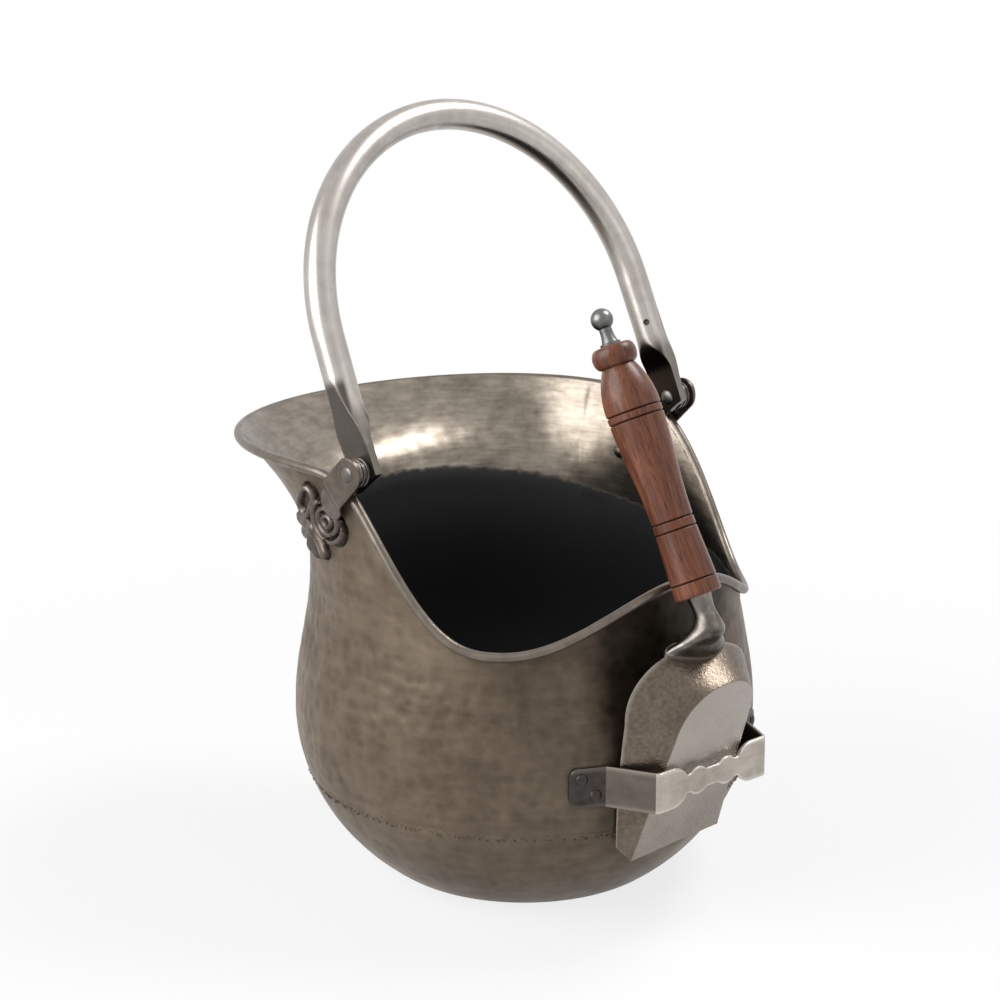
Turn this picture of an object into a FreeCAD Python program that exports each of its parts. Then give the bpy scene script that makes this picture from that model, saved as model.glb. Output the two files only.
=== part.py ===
import FreeCAD, Part
import math
import os

# Helmet-shaped hearth bucket with a swinging tube bail and a hand shovel in a front strap.
# Millimetres, +Z up. The origin is the middle of the flat base, and the pouring lip is on the -Y side.

V = FreeCAD.Vector
X_AXIS = V(1, 0, 0)
Y_AXIS = V(0, 1, 0)
Z_AXIS = V(0, 0, 1)
ORIGIN = V(0, 0, 0)

# Sheet body
SHEET = 1.0
BULGE_R = 125.0
BULGE_Z = 92.0
BELLY_H = 112.0
SEAM_Z = 59.0
SHOULDER_H = 80.0
NECK_IN = 9.5
NECK_Z = 160.0
NECK_TILT_ANGLE = 12.6

# Rim, as the centre line of its rolled bead; angles are measured from the back
WIRE_R = 1.5
WIRE_FIT = 0.05
RIM_BACK_OUT = 59.5
RIM_SIDE_OUT = 1.1
RIM_FRONT_OUT = 4.0
RIM_BACK_Z = 229.0
RIM_SHOULDER_Z = 236.7
RIM_SHOULDER_ANGLE = 72.3
RIM_DIP_Z = 155.3
RIM_DIP_ANGLE = 130.4
RIM_LIP_Z = 186.3
LOBE_POWER = 1.6
FLARE_BACK_ANGLE = 62.0
FLARE_FRONT_ANGLE = 14.0
CURL_ANGLE = 285.0

# Ears, placed from the bail's pivot, which stands above the rim
EAR_ANGLE = 90.0
PIVOT_UP = 18.6
TAB_GAP = 2.1
TAB_T = 2.4
TAB_R = 9.0
TAB_FOOT_BACK = 19.0
TAB_FOOT_DOWN = 19.5
TAB_FOOT_R = 7.0
TAB_FOOT_T = 2.6
EAR_T = 3.2
EAR_SEAT = 0.3
ROSETTE_SEAT = 1.35
RELIEF_R = 2.6
HEEL_R = 4.5
ROSETTE_BACK = 36.5
ROSETTE_DOWN = 38.5
ROSETTE_R = 11.0
PETALS = 7
PETAL_R = 5.6
SCROLL_BACK = 19.5
SCROLL_DOWN = 30.5
SCROLL_R = 6.0
SCROLL_BEAD_R = 2.4
LEAF_BACK = 43.0
LEAF_DOWN = 23.5
LEAF_R = 6.0
LEAF_T = 3.9
LEAF_SEAT = 0.7
EAR_RIVET_R = 2.0
EAR_RIVET_HEAD_R = 4.0
EAR_RIVET_HEAD_H = 1.6
EAR_RIVET_DEPTH = 2.2
RIVET_FIT = 0.05
HEAD_SEAT = 0.15
EAR_HEAD_SEAT = 0.35

# Bail pivot
PIN_R = 2.5
PIN_FIT = 0.06
PIN_HEAD_R = 4.2
PIN_HEAD_H = 1.5
BUSH_R = 7.6
BUSH_T = 7.3
SIDE_PLAY = 0.12

# Bail
BAIL_LEAN_ANGLE = 24.3
TUBE_R = 8.35
TUBE_WALL = 1.5
CRUSH_STEP = 0.05
LEG_LEAN_ANGLE = 1.6
BAIL_RISE = 177.0
FLAT_W = 20.4
FLAT_T = 4.2
FLAT_END = 10.0
FLAT_TOP = 12.0
CRUSH_L = 24.0
VENT_R = 1.75
VENT_UP = 43.0

# Shovel strap; its angles are measured from the front
STRAP_T = 2.2
STRAP_H = 22.0
STRAP_Z = 86.4
STRAP_FRONT_W = 81.0
STRAP_GAP = 0.4
STRAP_FOOT_ANGLE = 24.0
STRAP_END_ANGLE = 33.0
STRAP_SEAT = 0.05
STRAP_END_ROUND = 5.0
BAND_H = 10.4
LOBE_X = 10.5
LOBE_R = 7.6
CORNER_LOBE_X = 29.0
STRAP_RIVET_R = 1.6
STRAP_RIVET_HEAD_R = 3.3
STRAP_RIVET_HEAD_H = 1.5
STRAP_RIVET_ANGLES = (30.0, 26.6)
STRAP_RIVET_HEIGHTS = (5.2, -4.1)

# Shovel's place: the middle of its tip edge, its lean outwards and its sideways roll in the strap
TIP_X = -1.2
TIP_GAP = 4.9
TIP_Z = 41.7
SHOVEL_LEAN_ANGLE = 22.2
SHOVEL_ROLL_ANGLE = 3.4

# Scoop
PAN_T = 1.8
PAN_TIP_W = 63.6
PAN_MID_W = 53.2
PAN_STRAIGHT = 79.7
PAN_L = 108.4
PAN_EDGE_H = 5.4
PAN_EDGE_ANGLE = 10.0
PAN_FLARE_TIP_ANGLE = 49.0
PAN_FLARE_MID_ANGLE = 36.0
PAN_FLARE_BACK_ANGLE = 10.0
TIP_RAKE_ANGLE = 46.0
ARCH_POWER = 2.3

# Handle, with stations along its axis from the scoop's floor plane
HANDLE_AHEAD = 2.8
HANDLE_ANGLE = 48.3
GRIP_START = 45.2
GRIP_END_R = 12.3
GRIP_WAIST_R = 10.9
GRIP_SWELL_R = 14.4
GRIP_NECK_R = 8.6
GRIP_BEAD_R = 11.7
GRIP_WAIST_AT = 40.0
GRIP_SWELL_AT = 101.0
GRIP_NECK_AT = 123.0
GRIP_BEAD_L = 10.7
GROOVES_AT = (8.0, 34.9, 40.1, 94.7, 98.9)
GROOVE_DEPTH = 0.9
GROOVE_W = 1.8
ROD_R = 2.5
ROD_FIT = 0.05
ROD_INTO_SOCKET = 15.0
ROD_INTO_FINIAL = 5.0
SOCKET_TOP_R = 6.4
SOCKET_NECK_R = 5.6
SOCKET_NECK_DOWN = 8.0
SOCKET_ELBOW_DOWN = 15.3
SOCKET_ELBOW_W = 15.0
SOCKET_ELBOW_D = 16.6
SOCKET_ELBOW_ANGLE = 30.0
SOCKET_FLARE_AT = 0.45
SOCKET_FLARE_W = 26.0
SOCKET_FLARE_D = 10.0
SOCKET_LAP_W = 40.0
SOCKET_LAP_H = 6.0
SOCKET_LAP_DROP = 1.6
FINIAL_FLANGE_R = 5.4
FINIAL_FLANGE_T = 1.6
FINIAL_NECK_R = 3.3
FINIAL_NECK_AT = 7.6
FINIAL_BALL_R = 5.8
FINIAL_BALL_AT = 14.0

# How finely curves are drawn, and blocks large enough to cut with
COLLAR_SECTIONS = 48
PROFILE_STEPS = 16
CURL_POINTS = 10
QUARTER_POINTS = 5
ARCH_STEPS = 12
SMALL = 0.01
PROBE = 1.0
ROUNDING = 1e-9
REACH = 400.0


def save(name, shape):
    """Write one node."""
    shape.exportStep("parts/%s.step" % name)


def save_pair(name, shape):
    """Write the left-hand node and its mirror image."""
    save(name + "_left", shape)
    save(name + "_right", shape.mirror(ORIGIN, X_AXIS))


def line(a, b):
    """Straight edge."""
    return Part.makeLine(a, b)


def spline(points):
    """Smooth edge through points."""
    curve = Part.BSplineCurve()
    curve.interpolate(points)
    return curve.toShape()


def ring_wire(point_at):
    """Closed wire of four smooth quarters; point_at takes a share of a turn."""
    edges = []
    for quarter in range(4):
        shares = [(quarter + i / QUARTER_POINTS) / 4 for i in range(QUARTER_POINTS + 1)]
        edges.append(spline([point_at(share) for share in shares]))
    return Part.Wire(edges)


def signed_power(value, power):
    """Power of a number that keeps its sign, with a rounding error taken as zero."""
    size = abs(value) if abs(value) > ROUNDING else 0.0
    return math.copysign(size ** power, value)


def polar(radius, from_front, z=0.0):
    """Point at an angle from the front, positive towards +X."""
    a = math.radians(from_front)
    return V(radius * math.sin(a), -radius * math.cos(a), z)


def along(shape, base, axis):
    """A shape made along +Z, laid along axis from base."""
    laid = shape.copy()
    laid.Placement = FreeCAD.Placement(base, FreeCAD.Rotation(Z_AXIS, axis))
    return laid


def lathe(edges):
    """Revolve a closed outline, drawn in the XZ plane, about Z."""
    return Part.Face(Part.Wire(edges)).revolve(ORIGIN, Z_AXIS, 360)


def polygon(points):
    """Face with straight sides."""
    return Part.Face(Part.makePolygon(points + points[:1]))


def dome(radius, height):
    """Low round head standing on z = 0."""
    ball_r = (radius ** 2 + height ** 2) / (2 * height)
    half = math.asin(radius / ball_r) / 2
    crown = V(ball_r * math.sin(half), 0, height - ball_r + ball_r * math.cos(half))
    arc = Part.Arc(V(radius, 0, 0), crown, V(0, 0, height)).toShape()
    return lathe([line(ORIGIN, V(radius, 0, 0)), arc, line(V(0, 0, height), ORIGIN)])


# Body of revolution: an elliptic belly and a cosine shoulder up to the neck
NECK_R = BULGE_R - NECK_IN


def cosine_step(share):
    """Gentle step from 0 to 1."""
    return (1 - math.cos(math.pi * share)) / 2


def body_r(z):
    """Outer radius of the base pan and barrel."""
    if z <= BULGE_Z:
        return BULGE_R * math.sqrt(1 - ((BULGE_Z - z) / BELLY_H) ** 2)
    return BULGE_R - (BULGE_R - NECK_R) * cosine_step(min((z - BULGE_Z) / SHOULDER_H, 1.0))


def body_slope(z):
    """Change of the outer radius with height."""
    low = max(z - SMALL, 0)
    return (body_r(z + SMALL) - body_r(low)) / (z + SMALL - low)


def face_r(z, depth):
    """Radius of the face that lies depth inside the outer face."""
    return body_r(z) - depth * math.hypot(1, body_slope(z))


def neck_height(y):
    """Height of the tilted neck plane."""
    return NECK_Z + math.tan(math.radians(NECK_TILT_ANGLE)) * y


BODY_TOP = neck_height(BULGE_R)


def profile(low, high, depth):
    """Points of the body's outline between two heights."""
    steps = [low + (high - low) * i / PROFILE_STEPS for i in range(PROFILE_STEPS + 1)]
    return [V(face_r(z, depth), 0, z) for z in steps]


def make_vessel():
    """Base pan and barrel in one, before they are parted."""
    lower = profile(0, BULGE_Z, 0)
    upper = profile(BULGE_Z, BODY_TOP, 0)
    inner_lower = profile(SHEET, BULGE_Z, SHEET)
    inner_upper = profile(BULGE_Z, BODY_TOP, SHEET)
    floor_mid = V(0, 0, SHEET)
    return lathe([
        line(ORIGIN, lower[0]),
        spline(lower),
        spline(upper),
        line(upper[-1], inner_upper[-1]),
        spline(inner_upper[::-1]),
        spline(inner_lower[::-1]),
        line(inner_lower[0], floor_mid),
        line(floor_mid, ORIGIN),
    ])


def vessel_core(swell):
    """Solid of the body's outer form, larger by swell."""
    lower = profile(0, BULGE_Z, -swell)
    upper = profile(BULGE_Z, BODY_TOP, -swell)
    top = V(0, 0, BODY_TOP)
    outline = [line(ORIGIN, lower[0]), spline(lower), spline(upper), line(upper[-1], top), line(top, ORIGIN)]
    return lathe(outline)


def below_neck():
    """Everything under the tilted neck plane."""
    block = Part.makeBox(2 * REACH, 2 * REACH, REACH, V(-REACH, -REACH, -REACH))
    block.rotate(ORIGIN, X_AXIS, NECK_TILT_ANGLE)
    block.translate(V(0, 0, NECK_Z))
    return block


def below_seam():
    """Everything under the brazed seam."""
    return Part.makeBox(2 * REACH, 2 * REACH, REACH, V(-REACH, -REACH, SEAM_Z - REACH))


# Collar: cubic lines rise from the neck to the rim, whose edge is rolled over the wire
RIM_BACK_R = NECK_R + RIM_BACK_OUT
RIM_SIDE_R = NECK_R + RIM_SIDE_OUT
RIM_FRONT_R = NECK_R + RIM_FRONT_OUT


def steep_step(share):
    """Steeper step from 0 to 1, level at both ends."""
    return share ** 3 * (6 * share ** 2 - 15 * share + 10)


def lobe_share(angle):
    """1 at the back, falling to 0 at the ears and in front of them."""
    return max(math.cos(math.radians(angle)), 0.0) ** LOBE_POWER


def rim_point(angle):
    """Bead centre at an angle from the back, positive towards +X."""
    a = math.radians(angle)
    front_share = max(-math.cos(a), 0.0)
    r = RIM_SIDE_R + (RIM_BACK_R - RIM_SIDE_R) * lobe_share(angle) + (RIM_FRONT_R - RIM_SIDE_R) * front_share
    turn = abs((angle + 180) % 360 - 180)
    if turn < RIM_SHOULDER_ANGLE:
        z = RIM_BACK_Z + (RIM_SHOULDER_Z - RIM_BACK_Z) * cosine_step(turn / RIM_SHOULDER_ANGLE)
    elif turn < RIM_DIP_ANGLE:
        share = (turn - RIM_SHOULDER_ANGLE) / (RIM_DIP_ANGLE - RIM_SHOULDER_ANGLE)
        z = RIM_SHOULDER_Z + (RIM_DIP_Z - RIM_SHOULDER_Z) * steep_step(share)
    else:
        z = RIM_DIP_Z + (RIM_LIP_Z - RIM_DIP_Z) * cosine_step((turn - RIM_DIP_ANGLE) / (180 - RIM_DIP_ANGLE))
    return V(r * math.sin(a), r * math.cos(a), z)


def rim_frame(angle):
    """Bead centre, the sheet's direction there and the normal that points into the bucket."""
    step = 0.5
    tangent = rim_point(angle + step) - rim_point(angle - step)
    tangent.normalize()
    a = math.radians(angle)
    outward = V(math.sin(a), math.cos(a), 0)
    lean = math.radians(FLARE_FRONT_ANGLE + (FLARE_BACK_ANGLE - FLARE_FRONT_ANGLE) * lobe_share(angle))
    rise = Z_AXIS * math.cos(lean) + outward * math.sin(lean)
    rise = rise - tangent * rise.dot(tangent)
    rise.normalize()
    inward = tangent.cross(rise)
    if inward.dot(outward) - inward.z > 0:
        inward = inward * -1
    return rim_point(angle), rise, inward


def neck_point(angle, depth):
    """Point of the tilted neck at an angle, on the face depth inside the outer one."""
    a = math.radians(angle)
    r = NECK_R
    for _ in range(30):
        r = face_r(neck_height(r * math.cos(a)), depth)
    return V(r * math.sin(a), r * math.cos(a), neck_height(r * math.cos(a)))


def sheet_curve(angle, depth):
    """Line of the collar's face from the neck to the bead."""
    a = math.radians(angle)
    foot = neck_point(angle, depth)
    here, rise, inward = rim_frame(angle)
    head = here + inward * (WIRE_R + depth)
    start = V(math.sin(a), math.cos(a), 0) * body_slope(foot.z) + Z_AXIS
    start.normalize()
    pull = foot.distanceToPoint(head) * 0.36
    curve = Part.BezierCurve()
    curve.setPoles([foot, foot + start * pull, head - rise * pull, head])
    return curve


def reversed_curve(curve):
    """The same cubic line, run from its head to its foot."""
    back = curve.copy()
    back.setPoles(curve.getPoles()[::-1])
    return back


def round_wire(angle, radius, turn):
    """Point on a circle about the bead's centre, at a share of a turn from the inner side."""
    here, rise, inward = rim_frame(angle)
    t = 2 * math.pi * turn
    return here + inward * (radius * math.cos(t)) + rise * (radius * math.sin(t))


def curl(angle, radius):
    """Points of the rolled edge, from the sheet's end outwards."""
    share = CURL_ANGLE / 360
    return [round_wire(angle, radius, share * i / CURL_POINTS) for i in range(CURL_POINTS + 1)]


def collar_section(angle):
    """Closed outline of the sheet and its rolled edge at one angle."""
    inner = sheet_curve(angle, SHEET)
    outer = sheet_curve(angle, 0)
    roll_out = curl(angle, WIRE_R + SHEET)
    roll_in = curl(angle, WIRE_R)
    return Part.Wire([
        inner.toShape(),
        spline(roll_out),
        line(roll_out[-1], roll_in[-1]),
        spline(roll_in[::-1]),
        reversed_curve(outer).toShape(),
        line(outer.value(0), inner.value(0)),
    ])


def closed_loft(section_at):
    """Solid through one section for each angle round the rim."""
    angles = [360.0 * i / COLLAR_SECTIONS for i in range(COLLAR_SECTIONS)]
    return Part.makeLoft([section_at(angle) for angle in angles], True, False, True)


def rim_bar(radius):
    """Closed round bar along the rim."""
    return closed_loft(lambda angle: ring_wire(lambda turn: round_wire(angle, radius, turn)))


# Ears: a lobed plate that follows the collar, with a rosette, a scroll and the bail's tab
PIVOT_Z = rim_point(EAR_ANGLE).z + PIVOT_UP
TAB_IN = RIM_SIDE_R + WIRE_R + SHEET + TAB_GAP
TAB_OUT = TAB_IN + TAB_T


def collar_spot(back, down, depth):
    """Point of the collar's left face, by its place from the pivot."""
    low, high = 0.0, 180.0
    for _ in range(40):
        angle = (low + high) / 2
        curve = sheet_curve(-angle, depth)
        t_low, t_high = 0.0, 1.0
        for _ in range(30):
            t = (t_low + t_high) / 2
            if curve.value(t).z < PIVOT_Z - down:
                t_low = t
            else:
                t_high = t
        spot = curve.value(t)
        if spot.y > back:
            low = angle
        else:
            high = angle
    return spot


def collar_normal(back, down):
    """Direction out of the collar's left face."""
    spot = collar_spot(back, down, 0)
    up = collar_spot(back, down - PROBE, 0) - spot
    towards_back = collar_spot(back + PROBE, down, 0) - spot
    normal = up.cross(towards_back)
    normal.normalize()
    return normal if normal.x < 0 else normal * -1


def on_collar(shape, back, down, lift):
    """A shape made along +Z from the origin, laid on the collar's left face."""
    normal = collar_normal(back, down)
    return along(shape, collar_spot(back, down, 0) + normal * lift, normal)


def rosette():
    """Flower of round petals about a hub, with a boss on each."""
    turns = [2 * math.pi * i / PETALS for i in range(PETALS)]
    middles = [V(ROSETTE_R * math.cos(t), ROSETTE_R * math.sin(t), 0) for t in turns]
    petals = [Part.makeCylinder(PETAL_R, EAR_T, middle) for middle in middles]
    flower = Part.makeCylinder(ROSETTE_R, EAR_T).multiFuse(petals).removeSplitter()
    bosses = [Part.makeSphere(RELIEF_R, middle + Z_AXIS * EAR_T) for middle in middles + [ORIGIN]]
    return flower.multiFuse(bosses)


def ear_ornament():
    """Rosette, scroll and leaf that lie on the collar, and the foot that carries the tab."""
    scroll = Part.makeCylinder(SCROLL_R + SCROLL_BEAD_R, EAR_T - SCROLL_BEAD_R / 2)
    scroll = scroll.fuse(Part.makeTorus(SCROLL_R, SCROLL_BEAD_R, Z_AXIS * EAR_T))
    foot = Part.makeCylinder(TAB_FOOT_R, TAB_FOOT_T)
    leaf = Part.makeCylinder(LEAF_R, LEAF_T)
    return [
        on_collar(rosette(), ROSETTE_BACK, ROSETTE_DOWN, ROSETTE_SEAT),
        on_collar(scroll, SCROLL_BACK, SCROLL_DOWN, EAR_SEAT),
        on_collar(leaf, LEAF_BACK, LEAF_DOWN, LEAF_SEAT),
        on_collar(foot, TAB_FOOT_BACK, TAB_FOOT_DOWN, EAR_SEAT),
    ]


def tab_heel():
    """Stem from the foot on the collar out to the tab."""
    normal = collar_normal(TAB_FOOT_BACK, TAB_FOOT_DOWN)
    start = collar_spot(TAB_FOOT_BACK, TAB_FOOT_DOWN, 0) + normal * (EAR_SEAT + TAB_FOOT_T / 2)
    length = (TAB_IN + TAB_T / 2 + start.x) / -normal.x
    return Part.makeCylinder(HEEL_R, length, start, normal)


def tab_pieces():
    """Upright tab with rounded ends."""
    heel_end = collar_spot(TAB_FOOT_BACK, TAB_FOOT_DOWN, 0)
    top = V(-TAB_OUT, 0, PIVOT_Z)
    foot = V(-TAB_OUT, heel_end.y, heel_end.z)
    run = foot - top
    run.normalize()
    across = X_AXIS.cross(run) * TAB_R
    strip = polygon([top + across, foot + across, foot - across, top - across]).extrude(X_AXIS * TAB_T)
    top_end = Part.makeCylinder(TAB_R, TAB_T, top, X_AXIS)
    low_end = Part.makeCylinder(TAB_R, TAB_T, foot, X_AXIS)
    return strip.multiFuse([top_end, low_end]).removeSplitter()


def ear_rivet_places():
    """Places of the ear's two rivets, from the pivot."""
    return [(ROSETTE_BACK, ROSETTE_DOWN), (SCROLL_BACK, SCROLL_DOWN)]


def ear_rivet(back, down):
    """Rivet with its head inside the bucket and its tail in the ear."""
    normal = collar_normal(back, down)
    seat = collar_spot(back, down, SHEET) - normal * EAR_HEAD_SEAT
    shank = Part.makeCylinder(EAR_RIVET_R, SHEET + EAR_HEAD_SEAT + EAR_RIVET_DEPTH, seat, normal)
    head = along(dome(EAR_RIVET_HEAD_R, EAR_RIVET_HEAD_H), seat, normal * -1)
    return shank.fuse(head).removeSplitter()


def ear_rivet_bore(back, down):
    """Hole for one ear rivet, through the collar and into the ear."""
    normal = collar_normal(back, down)
    start = collar_spot(back, down, SHEET) - normal * 2 * EAR_HEAD_SEAT
    length = SHEET + 2 * EAR_HEAD_SEAT + EAR_RIVET_DEPTH + RIVET_FIT
    return Part.makeCylinder(EAR_RIVET_R + RIVET_FIT, length, start, normal)


def pin_bore():
    """Hole across both ears and both ends of the bail."""
    return Part.makeCylinder(PIN_R + PIN_FIT, 2 * REACH, V(-REACH, 0, PIVOT_Z), X_AXIS)


def make_ear():
    """Left ear: ornament, foot and tab in one casting."""
    ornament = ear_ornament()
    casting = ornament[0].multiFuse(ornament[1:] + [tab_heel(), tab_pieces()])
    bores = [ear_rivet_bore(*place) for place in ear_rivet_places()]
    return casting.cut([pin_bore()] + bores)


# Bail and its pivots
BAIL_END_X = TAB_IN - 2 * SIDE_PLAY - BUSH_T - FLAT_T / 2


def superellipse(centre, wide, deep, power):
    """Ring of a flattened tube; wide and deep are half sizes as vectors."""
    def point_at(share):
        t = 2 * math.pi * share
        return (centre + wide * signed_power(math.cos(t), 2 / power)
                + deep * signed_power(math.sin(t), 2 / power))
    return ring_wire(point_at)


def bail_end():
    """Right-hand end of the upright bail: the tube crushed flat, ending square below the pivot."""
    splay = math.radians(LEG_LEAN_ANGLE)
    root = V(BAIL_END_X, 0, PIVOT_Z + FLAT_TOP)
    up = V(-math.sin(splay), 0, math.cos(splay))
    side = V(math.cos(splay), 0, math.sin(splay))
    top_r = TUBE_R - CRUSH_STEP
    stages = ((1.0, top_r, top_r, 2.0), (0.62, 0.75 * TUBE_R + 0.125 * FLAT_W, 0.8 * TUBE_R, 2.2),
              (0.3, 0.3 * TUBE_R + 0.35 * FLAT_W, 0.25 * TUBE_R + 0.32 * FLAT_T, 3.0))
    rings = []
    for share, half_w, half_t, power in stages:
        rings.append(superellipse(root + up * (CRUSH_L * share), Y_AXIS * half_w, side * half_t, power))
    flat_power = 5.0
    flat = superellipse(root, Y_AXIS * (FLAT_W / 2), X_AXIS * (FLAT_T / 2), flat_power)
    crushed = Part.makeLoft(rings + [flat], True)
    tongue = Part.Face(flat).extrude(Z_AXIS * -(FLAT_TOP + FLAT_END))
    return crushed.fuse(tongue)


def make_bail():
    """Bent tube with two flattened ends, leaning back as it rests."""
    splay = math.radians(LEG_LEAN_ANGLE)
    root = V(BAIL_END_X, 0, PIVOT_Z + FLAT_TOP)
    bow_r = BAIL_END_X * math.cos(splay) - (BAIL_RISE - FLAT_TOP) * math.sin(splay)
    bow_r /= 1 - math.sin(splay)
    up = V(-math.sin(splay), 0, math.cos(splay))
    start = root + up * CRUSH_L
    centre = V(0, 0, PIVOT_Z + BAIL_RISE - bow_r)
    bend = centre + V(math.cos(splay), 0, math.sin(splay)) * bow_r
    top = centre + Z_AXIS * bow_r
    start_left = V(-start.x, 0, start.z)
    bend_left = V(-bend.x, 0, bend.z)
    bow = Part.Arc(bend, top, bend_left).toShape()
    path = Part.Wire([line(start, bend), bow, line(bend_left, start_left)])
    tubes = []
    for radius in (TUBE_R, TUBE_R - TUBE_WALL):
        ring = Part.Wire(Part.Circle(start, up, radius).toShape())
        tubes.append(path.makePipeShell([ring], True, True))
    end = bail_end()
    bail = tubes[0].cut(tubes[1]).multiFuse([end, end.mirror(ORIGIN, X_AXIS)])
    vent_at = root + up * (VENT_UP - FLAT_TOP)
    vent = Part.makeCylinder(VENT_R, 2 * TUBE_R, vent_at, V(-1, -1, 0))
    bail = bail.cut([pin_bore(), vent])
    bail.rotate(V(0, 0, PIVOT_Z), X_AXIS, -BAIL_LEAN_ANGLE)
    return bail


def make_pin():
    """Left pivot rivet, headed outside the tab and inside the bail's end."""
    inside = BAIL_END_X - FLAT_T / 2 - SIDE_PLAY
    shank = Part.makeCylinder(PIN_R, TAB_OUT - inside, V(-TAB_OUT, 0, PIVOT_Z), X_AXIS)
    outer_head = along(dome(PIN_HEAD_R, PIN_HEAD_H), V(-TAB_OUT, 0, PIVOT_Z), X_AXIS * -1)
    inner_head = along(dome(PIN_HEAD_R, PIN_HEAD_H), V(-inside, 0, PIVOT_Z), X_AXIS)
    return shank.multiFuse([outer_head, inner_head]).removeSplitter()


def make_bush():
    """Left spacer between the tab and the bail's end."""
    base = V(-TAB_IN + SIDE_PLAY, 0, PIVOT_Z)
    return Part.makeCylinder(BUSH_R, BUSH_T, base, X_AXIS).cut(pin_bore())


# Strap that holds the shovel, riveted to the barrel
TIP = V(TIP_X, -body_r(TIP_Z) - TIP_GAP, TIP_Z)
STRAP_TOP = STRAP_Z + STRAP_H / 2
STRAP_LOW = STRAP_Z - STRAP_H / 2
STRAP_BACK_Y = TIP.y - (STRAP_TOP - TIP_Z) * math.tan(math.radians(SHOVEL_LEAN_ANGLE)) - STRAP_GAP
STRAP_FRONT_Y = STRAP_BACK_Y - STRAP_T
STRAP_TAB_R = BULGE_R + STRAP_SEAT + STRAP_T


def strap_arm():
    """Right arm and tab, before the tab is let down on to the barrel."""
    corner = V(STRAP_FRONT_W / 2, STRAP_FRONT_Y, STRAP_LOW)
    foot = polar(STRAP_TAB_R, STRAP_FOOT_ANGLE, STRAP_LOW)
    run = corner - foot
    run.normalize()
    inside = Z_AXIS.cross(run) * -STRAP_T
    sunk = foot - run * 2 * STRAP_T
    arm = polygon([sunk, corner, corner + inside, sunk + inside]).extrude(Z_AXIS * STRAP_H)
    deep_r = BULGE_R - STRAP_T
    mid_angle = (STRAP_FOOT_ANGLE + STRAP_END_ANGLE) / 2
    end = polar(STRAP_TAB_R, STRAP_END_ANGLE, STRAP_LOW)
    deep_end = polar(deep_r, STRAP_END_ANGLE, STRAP_LOW)
    deep_foot = polar(deep_r, STRAP_FOOT_ANGLE, STRAP_LOW)
    face = Part.Arc(foot, polar(STRAP_TAB_R, mid_angle, STRAP_LOW), end).toShape()
    back = Part.Arc(deep_end, polar(deep_r, mid_angle, STRAP_LOW), deep_foot).toShape()
    plan = Part.Wire([face, line(end, deep_end), back, line(deep_foot, foot)])
    tab = Part.Face(plan).extrude(Z_AXIS * STRAP_H)
    corners = [edge for edge in tab.Edges if abs(edge.Length - (STRAP_TAB_R - deep_r)) < SMALL
               and abs(edge.CenterOfMass.x - (end.x + deep_end.x) / 2) < SMALL]
    return arm.fuse(tab.makeFillet(STRAP_END_ROUND, corners))


def strap_front():
    """Front strip with scalloped edges between its full-height corners."""
    half_w = STRAP_FRONT_W / 2
    low = V(-half_w, STRAP_FRONT_Y, STRAP_Z - BAND_H / 2)
    pieces = [Part.makeBox(STRAP_FRONT_W, STRAP_T, BAND_H, low)]
    for side in (-1, 1):
        for x, r in ((LOBE_X, LOBE_R), (CORNER_LOBE_X, STRAP_H / 2)):
            pieces.append(Part.makeCylinder(r, STRAP_T, V(side * x, STRAP_FRONT_Y, STRAP_Z), Y_AXIS))
        corner_w = half_w - CORNER_LOBE_X
        corner_x = CORNER_LOBE_X if side > 0 else -half_w
        pieces.append(Part.makeBox(corner_w, STRAP_T, STRAP_H, V(corner_x, STRAP_FRONT_Y, STRAP_LOW)))
    return pieces


def strap_rivet_spots():
    """Angles from the front and heights of the left tab's rivets."""
    return [(-angle, STRAP_Z + up) for angle, up in zip(STRAP_RIVET_ANGLES, STRAP_RIVET_HEIGHTS)]


def strap_rivet(angle, z):
    """Rivet with a head on the strap's tab and one inside the barrel."""
    away = polar(1, angle)
    inner_r = min(face_r(z - STRAP_RIVET_HEAD_R, SHEET), face_r(z + STRAP_RIVET_HEAD_R, SHEET))
    seat = polar(inner_r - HEAD_SEAT, angle, z)
    top = polar(STRAP_TAB_R + HEAD_SEAT, angle, z)
    shank = Part.makeCylinder(STRAP_RIVET_R, seat.distanceToPoint(top), seat, away)
    head = dome(STRAP_RIVET_HEAD_R, STRAP_RIVET_HEAD_H)
    return shank.multiFuse([along(head, top, away), along(head, seat, away * -1)]).removeSplitter()


def strap_bores():
    """Holes for the rivets of both tabs."""
    bores = []
    for angle, z in strap_rivet_spots():
        for side in (1, -1):
            start = polar(BULGE_R / 2, side * angle, z)
            bores.append(Part.makeCylinder(STRAP_RIVET_R + RIVET_FIT, BULGE_R, start, polar(1, side * angle)))
    return bores


def make_strap():
    """Whole strap, its tabs fitted to the barrel's belly."""
    arm = strap_arm()
    strap = arm.multiFuse([arm.mirror(ORIGIN, X_AXIS)] + strap_front())
    return strap.cut([vessel_core(STRAP_SEAT)] + strap_bores()).removeSplitter()


# Shovel, drawn with s along the scoop from its tip, w across it and h into its hollow
HANDLE_START = PAN_L + HANDLE_AHEAD


def shovel_place():
    """From the scoop's own axes to the bucket's."""
    lean = math.radians(SHOVEL_LEAN_ANGLE)
    roll = math.radians(SHOVEL_ROLL_ANGLE)
    up = V(0, -math.sin(lean), math.cos(lean))
    s_axis = up * math.cos(roll) - X_AXIS * math.sin(roll)
    w_axis = X_AXIS * math.cos(roll) + up * math.sin(roll)
    h_axis = s_axis.cross(w_axis)
    return axes_place(s_axis, w_axis, h_axis, TIP)


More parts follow.
